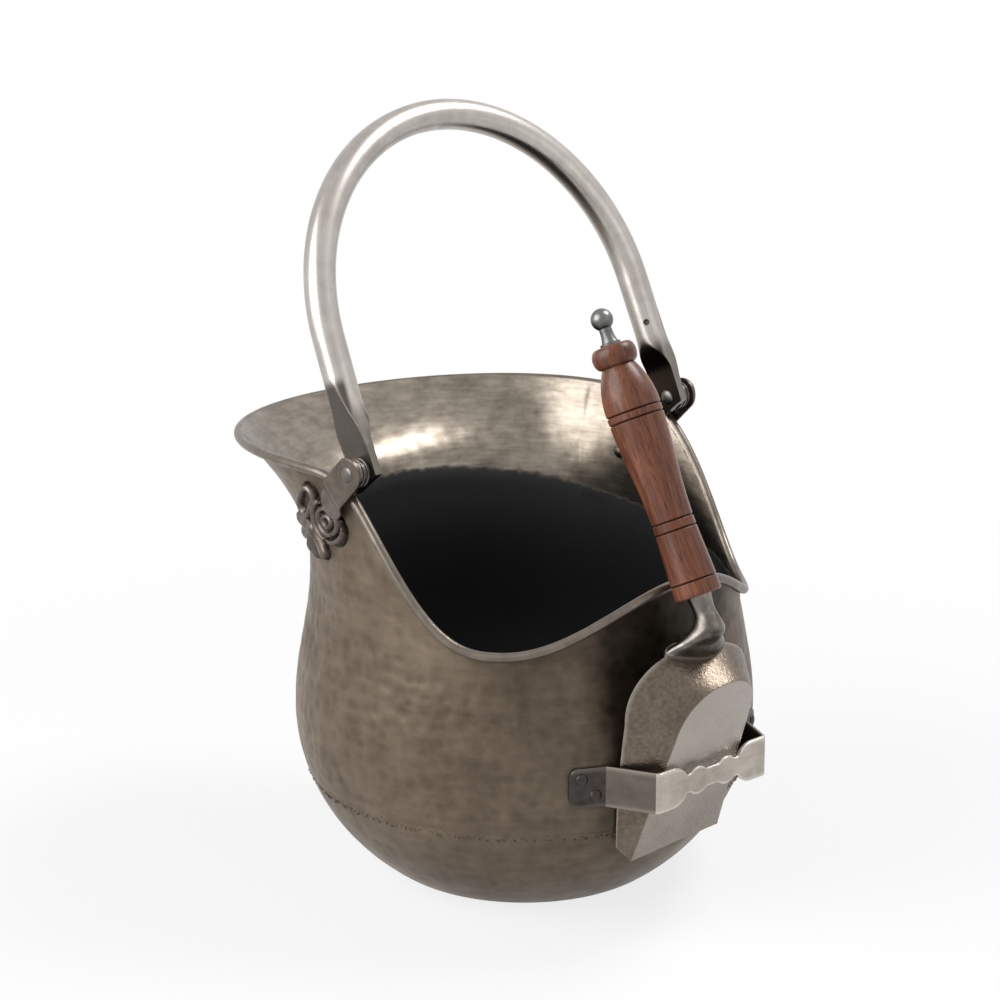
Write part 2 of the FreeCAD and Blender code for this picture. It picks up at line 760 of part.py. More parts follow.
def axes_place(a, b, c, origin):
    """Placement whose first, second and third axes are a, b and c."""
    return FreeCAD.Placement(FreeCAD.Matrix(
        a.x, b.x, c.x, origin.x, a.y, b.y, c.y, origin.y, a.z, b.z, c.z, origin.z, 0, 0, 0, 1))


def handle_place():
    """From the handle's axes (outward, across, along) to the scoop's."""
    rise = math.radians(HANDLE_ANGLE)
    out = V(math.sin(rise), 0, -math.cos(rise))
    axis = V(math.cos(rise), 0, math.sin(rise))
    return axes_place(out, Y_AXIS, axis, V(HANDLE_START, 0, 0))


def placed(shape, place):
    """A shape carried to its place."""
    return shape.transformGeometry(place.toMatrix())


def pan_outline(h, wall, tip_s):
    """Scoop's outline at a height over its floor, inside the outer faces by a wall's thickness."""
    def spread(flare):
        return h * math.tan(math.radians(flare)) - wall / math.cos(math.radians(flare))
    tip_w = PAN_TIP_W / 2 + spread(PAN_FLARE_TIP_ANGLE)
    mid_w = PAN_MID_W / 2 + spread(PAN_FLARE_MID_ANGLE)
    arch = PAN_L - PAN_STRAIGHT + spread(PAN_FLARE_BACK_ANGLE)
    tip_w += (tip_w - mid_w) * -tip_s / PAN_STRAIGHT
    points = []
    for i in range(ARCH_STEPS + 1):
        t = math.pi * (i / ARCH_STEPS - 0.5)
        s = PAN_STRAIGHT + arch * math.cos(t) ** (2 / ARCH_POWER) if 0 < i < ARCH_STEPS else PAN_STRAIGHT
        points.append(V(s, mid_w * signed_power(math.sin(t), 2 / ARCH_POWER), h))
    left = V(tip_s, -tip_w, h)
    right = V(tip_s, tip_w, h)
    return Part.Wire([line(left, points[0]), spline(points), line(points[-1], right), line(right, left)])


PAN_EDGE_SLOPE = math.tan(math.radians(PAN_EDGE_ANGLE))
PAN_BLOCK_H = PAN_EDGE_H + PAN_EDGE_SLOPE * 2 * PAN_L


def pan_form():
    """Scoop's outer form, without its hollow and above its free edge too."""
    return Part.makeLoft([pan_outline(0, 0, 0), pan_outline(PAN_BLOCK_H, 0, 0)], True, True)


def make_pan():
    """Scoop with a flat floor, flared walls, a raked tip and a rising free edge."""
    tip_s = -2 * PAN_T
    hollow_floor = pan_outline(PAN_T, PAN_T, tip_s)
    hollow_top = pan_outline(PAN_BLOCK_H + PAN_T, PAN_T, tip_s)
    hollow = Part.makeLoft([hollow_floor, hollow_top], True, True)
    rake = math.tan(math.radians(TIP_RAKE_ANGLE))
    corner_h = PAN_EDGE_H / (1 - PAN_EDGE_SLOPE * rake)
    far_s = 2 * PAN_L
    side = [V(0, -REACH, 0), V(far_s, -REACH, 0), V(far_s, -REACH, PAN_EDGE_H + PAN_EDGE_SLOPE * far_s),
            V(rake * corner_h, -REACH, corner_h)]
    keep = polygon(side).extrude(Y_AXIS * 2 * REACH)
    return placed(pan_form().cut(hollow).common(keep), shovel_place())


def socket_ring(centre, turn, wide, deep):
    """Ring across the cast neck, turned from the handle's axis towards the scoop."""
    angle = math.radians(turn)
    across = V(math.cos(angle), 0, -math.sin(angle))
    return superellipse(centre, Y_AXIS * wide / 2, across * deep / 2, 2.0)


def socket_blank():
    """Cast neck: round under the grip, bent at its elbow, flattened over the top of the scoop's back."""
    eta = math.radians(HANDLE_ANGLE)
    back_s = PAN_L - PAN_T - HANDLE_START
    back_h = PAN_EDGE_H + PAN_EDGE_SLOPE * PAN_L - SOCKET_LAP_DROP
    lap = V(back_s * math.sin(eta) - back_h * math.cos(eta), 0,
            back_s * math.cos(eta) + back_h * math.sin(eta))
    elbow = V(0, 0, GRIP_START - SOCKET_ELBOW_DOWN)
    flare = elbow + (lap - elbow) * SOCKET_FLARE_AT
    return Part.makeLoft([
        socket_ring(V(0, 0, GRIP_START), 0, 2 * SOCKET_TOP_R, 2 * SOCKET_TOP_R),
        socket_ring(V(0, 0, GRIP_START - SOCKET_NECK_DOWN), 0, 2 * SOCKET_NECK_R, 2 * SOCKET_NECK_R),
        socket_ring(elbow, SOCKET_ELBOW_ANGLE, SOCKET_ELBOW_W, SOCKET_ELBOW_D),
        socket_ring(flare, HANDLE_ANGLE, SOCKET_FLARE_W, SOCKET_FLARE_D),
        socket_ring(lap, HANDLE_ANGLE, SOCKET_LAP_W, SOCKET_LAP_H),
    ], True)


GRIP_L = GRIP_NECK_AT + GRIP_BEAD_L
GRIP_TOP = GRIP_START + GRIP_L


def grip_r(at):
    """Radius of the grip's main stretch at a station from its lower end."""
    if at < GRIP_WAIST_AT:
        return GRIP_END_R + (GRIP_WAIST_R - GRIP_END_R) * cosine_step(at / GRIP_WAIST_AT)
    if at < GRIP_SWELL_AT:
        share = (at - GRIP_WAIST_AT) / (GRIP_SWELL_AT - GRIP_WAIST_AT)
        return GRIP_WAIST_R + (GRIP_SWELL_R - GRIP_WAIST_R) * cosine_step(share)
    share = (at - GRIP_SWELL_AT) / (GRIP_NECK_AT - GRIP_SWELL_AT)
    return GRIP_NECK_R + (GRIP_SWELL_R - GRIP_NECK_R) * (1 - share ** 2)


def make_grip():
    """Turned grip with its bead, grooves and bore."""
    count = 2 * PROFILE_STEPS
    stretch = [GRIP_NECK_AT * i / count for i in range(count + 1)]
    points = [V(grip_r(at), 0, GRIP_START + at) for at in stretch]
    bead_mid = V(GRIP_BEAD_R, 0, GRIP_TOP - GRIP_BEAD_L / 2)
    bead_end = V(GRIP_NECK_R, 0, GRIP_TOP)
    bore_r = ROD_R + ROD_FIT
    bore_low = V(bore_r, 0, GRIP_START)
    bore_top = V(bore_r, 0, GRIP_TOP)
    grip = lathe([
        line(bore_low, points[0]),
        spline(points),
        Part.Arc(points[-1], bead_mid, bead_end).toShape(),
        line(bead_end, bore_top),
        line(bore_top, bore_low),
    ])
    cutters = []
    for at in GROOVES_AT:
        z = GRIP_START + at
        r = grip_r(at)
        mouth_r = r + GROOVE_DEPTH
        corners = [V(r - GROOVE_DEPTH, 0, z), V(mouth_r, 0, z - GROOVE_W), V(mouth_r, 0, z + GROOVE_W)]
        cutters.append(polygon(corners).revolve(ORIGIN, Z_AXIS, 360))
    return grip.cut(cutters)


def make_rod(extra):
    """Rod from the socket through the grip into the finial, thicker by extra for its bores."""
    low = GRIP_START - ROD_INTO_SOCKET - extra
    high = GRIP_TOP + ROD_INTO_FINIAL + extra
    return Part.makeCylinder(ROD_R + extra, high - low, V(0, 0, low))


def make_finial():
    """Turned nut: a flange, a hollow-sided neck and a ball."""
    base = GRIP_TOP
    sink = math.sqrt(FINIAL_BALL_R ** 2 - FINIAL_NECK_R ** 2)
    ball_foot = V(FINIAL_NECK_R, 0, base + FINIAL_BALL_AT - sink)
    ball_side = V(FINIAL_BALL_R, 0, base + FINIAL_BALL_AT)
    ball_top = V(0, 0, base + FINIAL_BALL_AT + FINIAL_BALL_R)
    flange_low = V(FINIAL_FLANGE_R, 0, base)
    flange_top = V(FINIAL_FLANGE_R, 0, base + FINIAL_FLANGE_T)
    neck = V(FINIAL_NECK_R, 0, base + FINIAL_NECK_AT)
    lean_in = V(FINIAL_NECK_R + (FINIAL_FLANGE_R - FINIAL_NECK_R) / 4, 0, (flange_top.z + neck.z) / 2)
    foot = V(0, 0, base)
    nut = lathe([
        line(foot, flange_low),
        line(flange_low, flange_top),
        Part.Arc(flange_top, lean_in, neck).toShape(),
        line(neck, ball_foot),
        Part.Arc(ball_foot, ball_side, ball_top).toShape(),
        line(ball_top, foot),
    ])
    return nut.cut(make_rod(ROD_FIT))


def main():
    """Build every piece and write it."""
    os.makedirs("parts", exist_ok=True)
    vessel = make_vessel()
    save("base_pan", vessel.common(below_seam()))
    save("barrel", vessel.cut(below_seam()).common(below_neck()).cut(strap_bores()))
    bores = [ear_rivet_bore(*place) for place in ear_rivet_places()]
    bores += [bore.mirror(ORIGIN, X_AXIS) for bore in bores]
    save("collar", closed_loft(collar_section).cut(bores))
    save("rim_wire", rim_bar(WIRE_R - WIRE_FIT))
    save_pair("ear", make_ear())
    save_pair("ear_rivets", Part.makeCompound([ear_rivet(*place) for place in ear_rivet_places()]))
    save_pair("pivot_rivet", make_pin())
    save_pair("pivot_bush", make_bush())
    save("bail", make_bail())
    save("shovel_strap", make_strap())
    save_pair("strap_rivets", Part.makeCompound([strap_rivet(*spot) for spot in strap_rivet_spots()]))
    form = placed(pan_form(), shovel_place())
    handle = shovel_place().multiply(handle_place())
    save("shovel_pan", make_pan())
    save("shovel_socket", placed(socket_blank().cut(make_rod(ROD_FIT)), handle).cut(form))
    save("tang_rod", placed(make_rod(0), handle))
    save("wood_grip", placed(make_grip(), handle))
    save("finial", placed(make_finial(), handle))


main()
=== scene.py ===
"""Looks of a helmet-shaped hearth bucket with a tube bail and a hand shovel in a front strap.

Sizes are in millimetres and are turned to metres when a mesh is made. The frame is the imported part's own:
+Z is up, -Y is the pouring lip with the shovel, and the ears stand at -X and +X.
"""

import logging
import math
from dataclasses import dataclass
from enum import Enum
from functools import partial
from typing import Any, Callable, Sequence

import bmesh
import bpy
import numpy as np
from mathutils import Matrix


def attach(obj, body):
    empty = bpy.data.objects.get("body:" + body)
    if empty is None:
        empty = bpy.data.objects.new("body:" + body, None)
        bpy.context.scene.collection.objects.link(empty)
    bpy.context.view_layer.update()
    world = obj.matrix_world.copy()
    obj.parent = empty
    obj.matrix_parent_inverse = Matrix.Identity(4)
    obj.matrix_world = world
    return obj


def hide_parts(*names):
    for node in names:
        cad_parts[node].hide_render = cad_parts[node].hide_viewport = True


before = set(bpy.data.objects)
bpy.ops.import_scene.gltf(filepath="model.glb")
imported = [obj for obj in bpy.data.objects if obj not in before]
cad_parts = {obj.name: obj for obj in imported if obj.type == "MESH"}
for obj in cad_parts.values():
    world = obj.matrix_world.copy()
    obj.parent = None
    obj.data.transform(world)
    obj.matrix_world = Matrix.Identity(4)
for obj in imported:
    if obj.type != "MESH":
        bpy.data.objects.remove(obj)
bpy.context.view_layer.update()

Array = np.ndarray
Pair = tuple[float, float]
Triple = tuple[float, float, float]
Row = tuple[float, ...]

LOG = logging.getLogger("hearth_bucket")
MM = 0.001
TINY = 1e-9


class Side(Enum):
    """Which ear, pivot or tab of a pair."""

    LEFT = -1
    RIGHT = 1

    @property
    def word(self) -> str:
        """Name of the side as the part's nodes write it."""
        return self.name.lower()


class Body(Enum):
    """The part's moving bodies."""

    BUCKET = "bucket"
    BAIL = "bail"
    SHOVEL = "shovel"


class Places(Enum):
    """What a finish's patterns follow."""

    OBJECT = "Object"
    OWN = "own"


def srgb(code: str) -> tuple[float, float, float, float]:
    """Turn an sRGB hex colour to linear.

    Args:
        code: six hex digits after a hash sign.

    Returns:
        Red, green, blue and alpha.
    """
    parts = [int(code[i:i + 2], 16) / 255 for i in (1, 3, 5)]
    linear = [p / 12.92 if p <= 0.04045 else ((p + 0.055) / 1.055) ** 2.4 for p in parts]
    return linear[0], linear[1], linear[2], 1.0


def per_metre(millimetres: float) -> float:
    """Texture scale for a feature of a real size."""
    return 1000.0 / millimetres


def feed(tree: bpy.types.NodeTree, node: bpy.types.Node, inputs: dict) -> None:
    """Link or set a node's inputs.

    Args:
        tree: node tree that holds the node.
        node: the node.
        inputs: values, output sockets, or nodes for their first output in use, by input name or number.
    """
    for key, value in inputs.items():
        if isinstance(value, bpy.types.Node):
            value = next(socket for socket in value.outputs if socket.enabled)
        if isinstance(value, bpy.types.NodeSocket):
            tree.links.new(value, node.inputs[key])
        else:
            node.inputs[key].default_value = value


def add_node(tree: bpy.types.NodeTree, kind: str, inputs: dict | None = None,
             **settings: Any) -> bpy.types.Node:
    """Add a node with its settings and links.

    Args:
        tree: node tree that gets the node.
        kind: Blender's name of the node type.
        inputs: what feed takes.
        settings: properties of the node.

    Returns:
        The new node.
    """
    node = tree.nodes.new(kind)
    for key, value in settings.items():
        setattr(node, key, value)
    feed(tree, node, inputs or {})
    return node


def smooth_step(value: Array | float) -> Array:
    """Gentle step from 0 to 1, level at both ends."""
    share = np.clip(value, 0.0, 1.0)
    return share * share * (3 - 2 * share)


def cosine_step(share: Array | float) -> Array:
    """Half a cosine wave from 0 to 1."""
    return (1 - np.cos(np.pi * np.asarray(share))) / 2


@dataclass(frozen=True)
class Fade:
    """Gentle change along a line, from 0 at one place to 1 at another."""

    zero: float
    one: float

    def at(self, place: Array | float) -> Array:
        """Share of the change that is reached at a place."""
        return smooth_step((place - self.zero) / (self.one - self.zero))


def bent(a: Array | float, b: Array | float, c: Array | float, t: Array) -> Array:
    """Quadratic bend from a towards b and on to c, at shares of its way."""
    return a * (1 - t) ** 2 + 2 * b * t * (1 - t) + c * t ** 2


def unit(vectors: Array) -> Array:
    """Vectors of length 1 in the same directions."""
    return vectors / np.maximum(np.linalg.norm(vectors, axis=-1, keepdims=True), TINY)


def around(r: Array | float, turn: Array, z: Array | float) -> Array:
    """Points at radii, at angles from the back towards +X, and at heights."""
    r, turn, z = np.broadcast_arrays(r, turn, z)
    return np.stack([r * np.sin(turn), r * np.cos(turn), z], -1)


def full_turn(count: int) -> Array:
    """Angles of points spread evenly round a circle."""
    return np.linspace(0, 2 * np.pi, count, endpoint=False)


def through(at: Array, stations: Sequence[float], values: Sequence[float]) -> Array:
    """Smooth line through given values.

    Args:
        at: places where the line is read.
        stations: rising places of the values.
        values: what the line passes through.

    Returns:
        The line's values, without overshoot.
    """
    x = np.asarray(stations, float)
    y = np.asarray(values, float)
    rise = np.diff(y) / np.diff(x)
    slope = np.zeros_like(y)
    same = rise[:-1] * rise[1:] > 0
    slope[1:-1][same] = 2 * rise[:-1][same] * rise[1:][same] / (rise[:-1][same] + rise[1:][same])
    slope[0], slope[-1] = rise[0], rise[-1]
    i = np.clip(np.searchsorted(x, at) - 1, 0, len(x) - 2)
    width = x[i + 1] - x[i]
    t = np.clip((at - x[i]) / width, 0, 1)
    return ((2 * t ** 3 - 3 * t ** 2 + 1) * y[i] + (t ** 3 - 2 * t ** 2 + t) * width * slope[i]
            + (3 * t ** 2 - 2 * t ** 3) * y[i + 1] + (t ** 3 - t ** 2) * width * slope[i + 1])


def signed_power(value: Array, power: float | Array) -> Array:
    """Power of numbers that keeps their sign."""
    return np.sign(value) * np.abs(value) ** power


def grid_normals(grid: Array, wrap_cols: bool) -> Array:
    """Unit normals of a grid of points, rows first.

    Args:
        grid: points as rows by columns by 3.
        wrap_cols: whether the last column meets the first.

    Returns:
        Normals of the same shape.
    """
    along = np.gradient(grid, axis=0)
    if wrap_cols:
        across = (np.roll(grid, -1, axis=1) - np.roll(grid, 1, axis=1)) / 2
    else:
        across = np.gradient(grid, axis=1)
    return unit(np.cross(across, along))


def link_object(name: str, data: bpy.types.ID) -> bpy.types.Object:
    """Make an object and put it in the scene."""
    obj = bpy.data.objects.new(name, data)
    bpy.context.scene.collection.objects.link(obj)
    return obj


class MeshDraft:
    """Points and faces of one piece, gathered in millimetres before its mesh is made."""

    def __init__(self) -> None:
        """Start empty."""
        self.points: list[Array] = []
        self.faces: list[tuple[int, ...]] = []
        self.marks: list[int] = []
        self.shade: list[Array] = []
        self.own: list[Array] = []
        self.count = 0

    def add_grid(self, grid: Array, wrap_rows: bool = False, wrap_cols: bool = False,
                 marks: Sequence[int] | int = 0, shade: Array | None = None,
                 own: Array | None = None, keep: Array | None = None) -> Array:
        """Add a sheet of quads.

        Args:
            grid: points as rows by columns by 3.
            wrap_rows: whether the last row meets the first.
            wrap_cols: whether the last column meets the first.
            marks: material number, or one for each strip between two rows.
            shade: depth of each point for its finish, 0 on plain faces.
            own: the piece's straightened coordinates of each point, in millimetres.
            keep: which quads are made.

        Returns:
            Numbers of the points, as rows by columns.
        """
        rows, cols = grid.shape[:2]
        numbers = self.count + np.arange(rows * cols).reshape(rows, cols)
        for i in range(rows if wrap_rows else rows - 1):
            mark = marks if isinstance(marks, int) else marks[i]
            here, there = numbers[i], numbers[(i + 1) % rows]
            for j in range(cols if wrap_cols else cols - 1):
                if keep is not None and not keep[i, j]:
                    continue
                k = (j + 1) % cols
                self.faces.append((int(here[j]), int(here[k]), int(there[k]), int(there[j])))
                self.marks.append(mark)
        flat = grid.reshape(-1, 3)
        self.points.append(flat)
        self.shade.append(np.zeros(len(flat)) if shade is None else np.asarray(shade, float).reshape(-1))
        self.own.append(flat if own is None else own.reshape(-1, 3))
        self.count += len(flat)
        return numbers

    def add_face(self, numbers: Sequence[int], mark: int = 0) -> None:
        """Close a ring of points with one face."""
        self.faces.append(tuple(int(n) for n in numbers))
        self.marks.append(mark)

    def add_tube(self, rings: Array, mark: int = 0, **settings: Any) -> None:
        """Add rings of points as a tube with closed ends.

        Args:
            rings: points as rings by points by 3.
            mark: material number of the ends.
            settings: what add_grid takes besides.
        """
        numbers = self.add_grid(rings, wrap_cols=True, **settings)
        self.add_face(numbers[0], mark)
        self.add_face(numbers[-1], mark)

    def finish(self, name: str, materials: Sequence[bpy.types.Material],
               sharp: float = 40.0) -> bpy.types.Object:
        """Make the piece's object.

        Args:
            name: name of the object.
            materials: finishes in the order of the faces' marks.
            sharp: angle in degrees from which an edge is drawn crisp.

        Returns:
            The object, with closed seams and faces that point outwards.
        """
        mesh = bpy.data.meshes.new(name)
        mesh.from_pydata((np.concatenate(self.points) * MM).tolist(), [], self.faces)
        for material in materials:
            mesh.materials.append(material)
        mesh.polygons.foreach_set("material_index", self.marks)
        mesh.attributes.new("shade", "FLOAT", "POINT").data.foreach_set("value", np.concatenate(self.shade))
        own = mesh.attributes.new("own", "FLOAT_VECTOR", "POINT")
        own.data.foreach_set("vector", (np.concatenate(self.own) * MM).reshape(-1))
        close_mesh(mesh, sharp)
        return link_object(name, mesh)


def close_mesh(mesh: bpy.types.Mesh, sharp: float) -> None:
    """Merge doubled points, turn the faces outwards and set which edges are crisp.

    Args:
        mesh: the mesh that is put in order.
        sharp: angle in degrees from which an edge is drawn crisp.
    """
    work = bmesh.new()
    work.from_mesh(mesh)
    bmesh.ops.remove_doubles(work, verts=work.verts, dist=1e-7)
    bmesh.ops.dissolve_degenerate(work, edges=work.edges, dist=1e-8)
    bmesh.ops.recalc_face_normals(work, faces=work.faces)
    work.to_mesh(mesh)
    work.free()
    mesh.shade_smooth()
    mesh.set_sharp_from_angle(angle=math.radians(sharp))


def plain_mesh(obj: bpy.types.Object, sharp: float = 40.0) -> bpy.types.Object:
    """Turn an object's modifiers into a plain mesh.

    Args:
        obj: object with live modifiers.
        sharp: angle in degrees from which an edge is drawn crisp.

    Returns:
        The same object without modifiers.
    """
    graph = bpy.context.evaluated_depsgraph_get()
    mesh = bpy.data.meshes.new_from_object(obj.evaluated_get(graph), depsgraph=graph)
    obj.modifiers.clear()
    obj.data = mesh
    close_mesh(mesh, sharp)
    return obj


def place_piece(obj: bpy.types.Object, body: Body, slot: str, *nodes: str) -> None:
    """Hang a piece on its body and name what it stands for.

    Args:
        obj: the piece.
        body: body that carries it.
        slot: material slot of the record; not used.
        nodes: nodes of the part that the piece replaces.
    """
    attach(obj, body.value)
    if nodes:
        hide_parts(*nodes)
    faces = len(obj.data.polygons)
    LOG.info("%s: %d faces on %s, stands for %s", obj.name, faces, body.value, nodes or "nothing")


# Finishes
def new_material(name: str) -> tuple[bpy.types.Material, bpy.types.NodeTree, bpy.types.Node]:
    """Start a node material.

    Args:
        name: name of the material.

    Returns:
        The material, its tree and its main shader.
    """
    material = bpy.data.materials.new(name)
    material.use_nodes = True
    tree = material.node_tree
    return material, tree, tree.nodes["Principled BSDF"]


@dataclass(frozen=True)
class MetalFinish:
    """Worn metal: mottled colour, darker hollows, drawn streaks and a fine grain."""

    name: str
    light: str
    dark: str
    hollow: str
    metallic: float = 1.0
    gloss: float = 0.5
    edge_tint: str = "#ffffff"
    contrast: float = 0.32
    rough: float = 0.38
    rough_swing: float = 0.08
    mottle_mm: float = 14.0
    blotch_mm: float = 70.0
    grain_mm: float = 0.9
    grain_depth_mm: float = 0.02
    streak_mm: Triple = (1.5, 1.5, 1.5)
    streak: float = 0.0
    hollow_share: float = 0.0
    rough_span: float = 0.4
    bump: float = 0.6
    places: Places = Places.OBJECT

    def make(self) -> bpy.types.Material:
        """Build the material's nodes.

        Returns:
            The material.
        """
        material, tree, shader = new_material(self.name)
        add = partial(add_node, tree)
        if self.places is Places.OWN:
            where = add("ShaderNodeAttribute", attribute_name="own").outputs["Vector"]
        else:
            where = add("ShaderNodeTexCoord").outputs["Object"]
        mottle = add("ShaderNodeTexNoise", {
            "Vector": where, "Scale": per_metre(self.mottle_mm), "Detail": 4.0, "Roughness": 0.6})
        blotch = add("ShaderNodeTexNoise", {
            "Vector": where, "Scale": per_metre(self.blotch_mm), "Detail": 2.0})
        drawn = add("ShaderNodeMapping", {
            "Vector": where, "Scale": tuple(per_metre(size) for size in self.streak_mm)})
        streak = add("ShaderNodeTexNoise", {"Vector": drawn, "Scale": 1.0, "Detail": 3.0})
        grain = add("ShaderNodeTexNoise", {"Vector": where, "Scale": per_metre(self.grain_mm), "Detail": 3.0})
        both = add("ShaderNodeMath", {0: mottle, 1: blotch}, operation="ADD")
        mixed = add("ShaderNodeMath", {0: streak, 1: self.streak, 2: both}, operation="MULTIPLY_ADD")
        middle = 1.0 + self.streak / 2
        share = add("ShaderNodeMapRange", {
            "Value": mixed, "From Min": middle - self.contrast, "From Max": middle + self.contrast})
        colour = add("ShaderNodeMix", {0: share, 6: srgb(self.dark), 7: srgb(self.light)}, data_type="RGBA")
        # The shade attribute mixes in the hollow colour: real hollows and wear on some pieces, painted shade
        # and painted highlights on others
        shade = add("ShaderNodeAttribute", attribute_name="shade")
        deep = add("ShaderNodeMath", {
            0: shade.outputs["Fac"], 1: self.hollow_share}, operation="MULTIPLY", use_clamp=True)
        wear_and_painted_light = add("ShaderNodeMix", {0: deep, 6: colour, 7: srgb(self.hollow)}, data_type="RGBA")
        rough = add("ShaderNodeMapRange", {
            "Value": mixed, "From Min": middle - self.rough_span, "From Max": middle + self.rough_span,
            "To Min": self.rough + self.rough_swing, "To Max": self.rough - self.rough_swing})
        relief = add("ShaderNodeMath", {0: streak, 1: self.streak, 2: grain}, operation="MULTIPLY_ADD")
        bump = add("ShaderNodeBump", {
            "Strength": self.bump, "Distance": self.grain_depth_mm * MM, "Height": relief})
        feed(tree, shader, {
            "Base Color": wear_and_painted_light, "Roughness": rough, "Normal": bump, "Metallic": self.metallic,
            "Specular IOR Level": self.gloss, "Specular Tint": srgb(self.edge_tint)})
        return material


@dataclass(frozen=True)
class CoatFinish:
    """Matte black stove paint, with a feathered edge over bare metal where the shade attribute falls to 0."""

    name: str
    coat: str
    bare_light: str
    bare_dark: str
    bare_rough: float = 0.3
    coat_rough: float = 0.62
    feather_mm: float = 5.0
    feather_share: float = 0.5
    cover_from: float = 0.55
    cover_to: float = 0.95
    metal_to: float = 0.2
    brush_mm: Triple = (14.0, 14.0, 1.8)
    brush_share: float = 0.7
    tone_from: float = 0.4
    tone_to: float = 1.32
    mottle_mm: float = 12.0
    speck_mm: float = 1.6
    speck_depth_mm: float = 0.03
    bump: float = 0.5

    def make(self) -> bpy.types.Material:
        """Build the material's nodes.

        Returns:
            The material.
        """
        material, tree, shader = new_material(self.name)
        add = partial(add_node, tree)
        where = add("ShaderNodeTexCoord").outputs["Object"]
        shade = add("ShaderNodeAttribute", attribute_name="shade")
        feather = add("ShaderNodeTexNoise", {
            "Vector": where, "Scale": per_metre(self.feather_mm), "Detail": 3.0})
        edge = add("ShaderNodeMath", {
            0: feather, 1: self.feather_share, 2: shade.outputs["Fac"]}, operation="MULTIPLY_ADD")
        cover = add("ShaderNodeMapRange", {
            "Value": edge, "From Min": self.cover_from, "From Max": self.cover_to},
            interpolation_type="SMOOTHSTEP")
        mottle = add("ShaderNodeTexNoise", {
            "Vector": where, "Scale": per_metre(self.mottle_mm), "Detail": 4.0, "Roughness": 0.65})
        brushed = add("ShaderNodeMapping", {
            "Vector": where, "Scale": tuple(per_metre(size) for size in self.brush_mm)})
        streak = add("ShaderNodeTexNoise", {"Vector": brushed, "Scale": 1.0, "Detail": 3.0})
        speck = add("ShaderNodeTexNoise", {"Vector": where, "Scale": per_metre(self.speck_mm), "Detail": 2.0})
        tone = add("ShaderNodeMath", {0: streak, 1: self.brush_share, 2: mottle}, operation="MULTIPLY_ADD")
        share = add("ShaderNodeMapRange", {
            "Value": tone, "From Min": self.tone_from, "From Max": self.tone_to})
        bare = add("ShaderNodeMix", {
            0: share, 6: srgb(self.bare_dark), 7: srgb(self.bare_light)}, data_type="RGBA")
        colour = add("ShaderNodeMix", {0: cover, 6: bare, 7: srgb(self.coat)}, data_type="RGBA")
        metal = add("ShaderNodeMapRange", {
            "Value": cover, "From Min": self.metal_to, "From Max": 1.0,
            "To Min": 1.0, "To Max": 0.0})
        rough = add("ShaderNodeMapRange", {
            "Value": cover, "To Min": self.bare_rough, "To Max": self.coat_rough})
        bump = add("ShaderNodeBump", {
            "Strength": self.bump, "Distance": self.speck_depth_mm * MM, "Height": speck})
        feed(tree, shader, {
            "Base Color": colour, "Metallic": metal,
            "Roughness": rough, "Normal": bump})
        return material


@dataclass(frozen=True)
class WoodFinish:
    """Turned hardwood under varnish: long grain lines, dark pores and a clear coat."""

    name: str
    light: str
    middle: str
    dark: str
    groove: str
    grain_mm: Triple = (2.2, 2.2, 46.0)
    grain_wave: float = 0.6
    broad_mm: float = 30.0
    broad_share: float = 0.6
    tone_from: float = 0.55
    tone_to: float = 1.05
    pore_mm: Triple = (0.7, 0.7, 9.0)
    pore_from: float = 0.54
    pore_to: float = 0.72
    pore_dark: float = 0.8
    pore_depth_mm: float = 0.03
    bump: float = 0.4
    rough: float = 0.36
    ior: float = 1.5
    gloss: float = 0.3
    varnish: float = 0.08
    varnish_rough: float = 0.18

    def make(self) -> bpy.types.Material:
        """Build the material's nodes.

        Returns:
            The material.
        """
        material, tree, shader = new_material(self.name)
        add = partial(add_node, tree)
        where = add("ShaderNodeAttribute", attribute_name="own").outputs["Vector"]
        shade = add("ShaderNodeAttribute", attribute_name="shade")
        lines = add("ShaderNodeMapping", {
            "Vector": where, "Scale": tuple(per_metre(size) for size in self.grain_mm)})
        grain = add("ShaderNodeTexNoise", {
            "Vector": lines, "Scale": 1.0, "Detail": 4.0, "Distortion": self.grain_wave})
        fibres = add("ShaderNodeMapping", {
            "Vector": where, "Scale": tuple(per_metre(size) for size in self.pore_mm)})
        pores = add("ShaderNodeTexNoise", {"Vector": fibres, "Scale": 1.0, "Detail": 2.0})
        broad = add("ShaderNodeTexNoise", {"Vector": where, "Scale": per_metre(self.broad_mm), "Detail": 2.0})
        tone = add("ShaderNodeMath", {0: broad, 1: self.broad_share, 2: grain}, operation="MULTIPLY_ADD")
        share = add("ShaderNodeMapRange", {
            "Value": tone, "From Min": self.tone_from, "From Max": self.tone_to})
        base = add("ShaderNodeMix", {0: share, 6: srgb(self.middle), 7: srgb(self.light)}, data_type="RGBA")
        pore_share = add("ShaderNodeMapRange", {
            "Value": pores, "From Min": self.pore_from, "From Max": self.pore_to,
            "To Max": self.pore_dark})
        pored = add("ShaderNodeMix", {0: pore_share, 6: base, 7: srgb(self.dark)}, data_type="RGBA")
        cut = add("ShaderNodeMix", {
            0: shade.outputs["Fac"], 6: pored, 7: srgb(self.groove)}, data_type="RGBA")
        bump = add("ShaderNodeBump", {
            "Strength": self.bump, "Distance": self.pore_depth_mm * MM, "Height": pores})
        feed(tree, shader, {
            "Base Color": cut, "Normal": bump, "Roughness": self.rough,
            "IOR": self.ior, "Specular IOR Level": self.gloss, "Coat Weight": self.varnish,
            "Coat Roughness": self.varnish_rough})
        return material


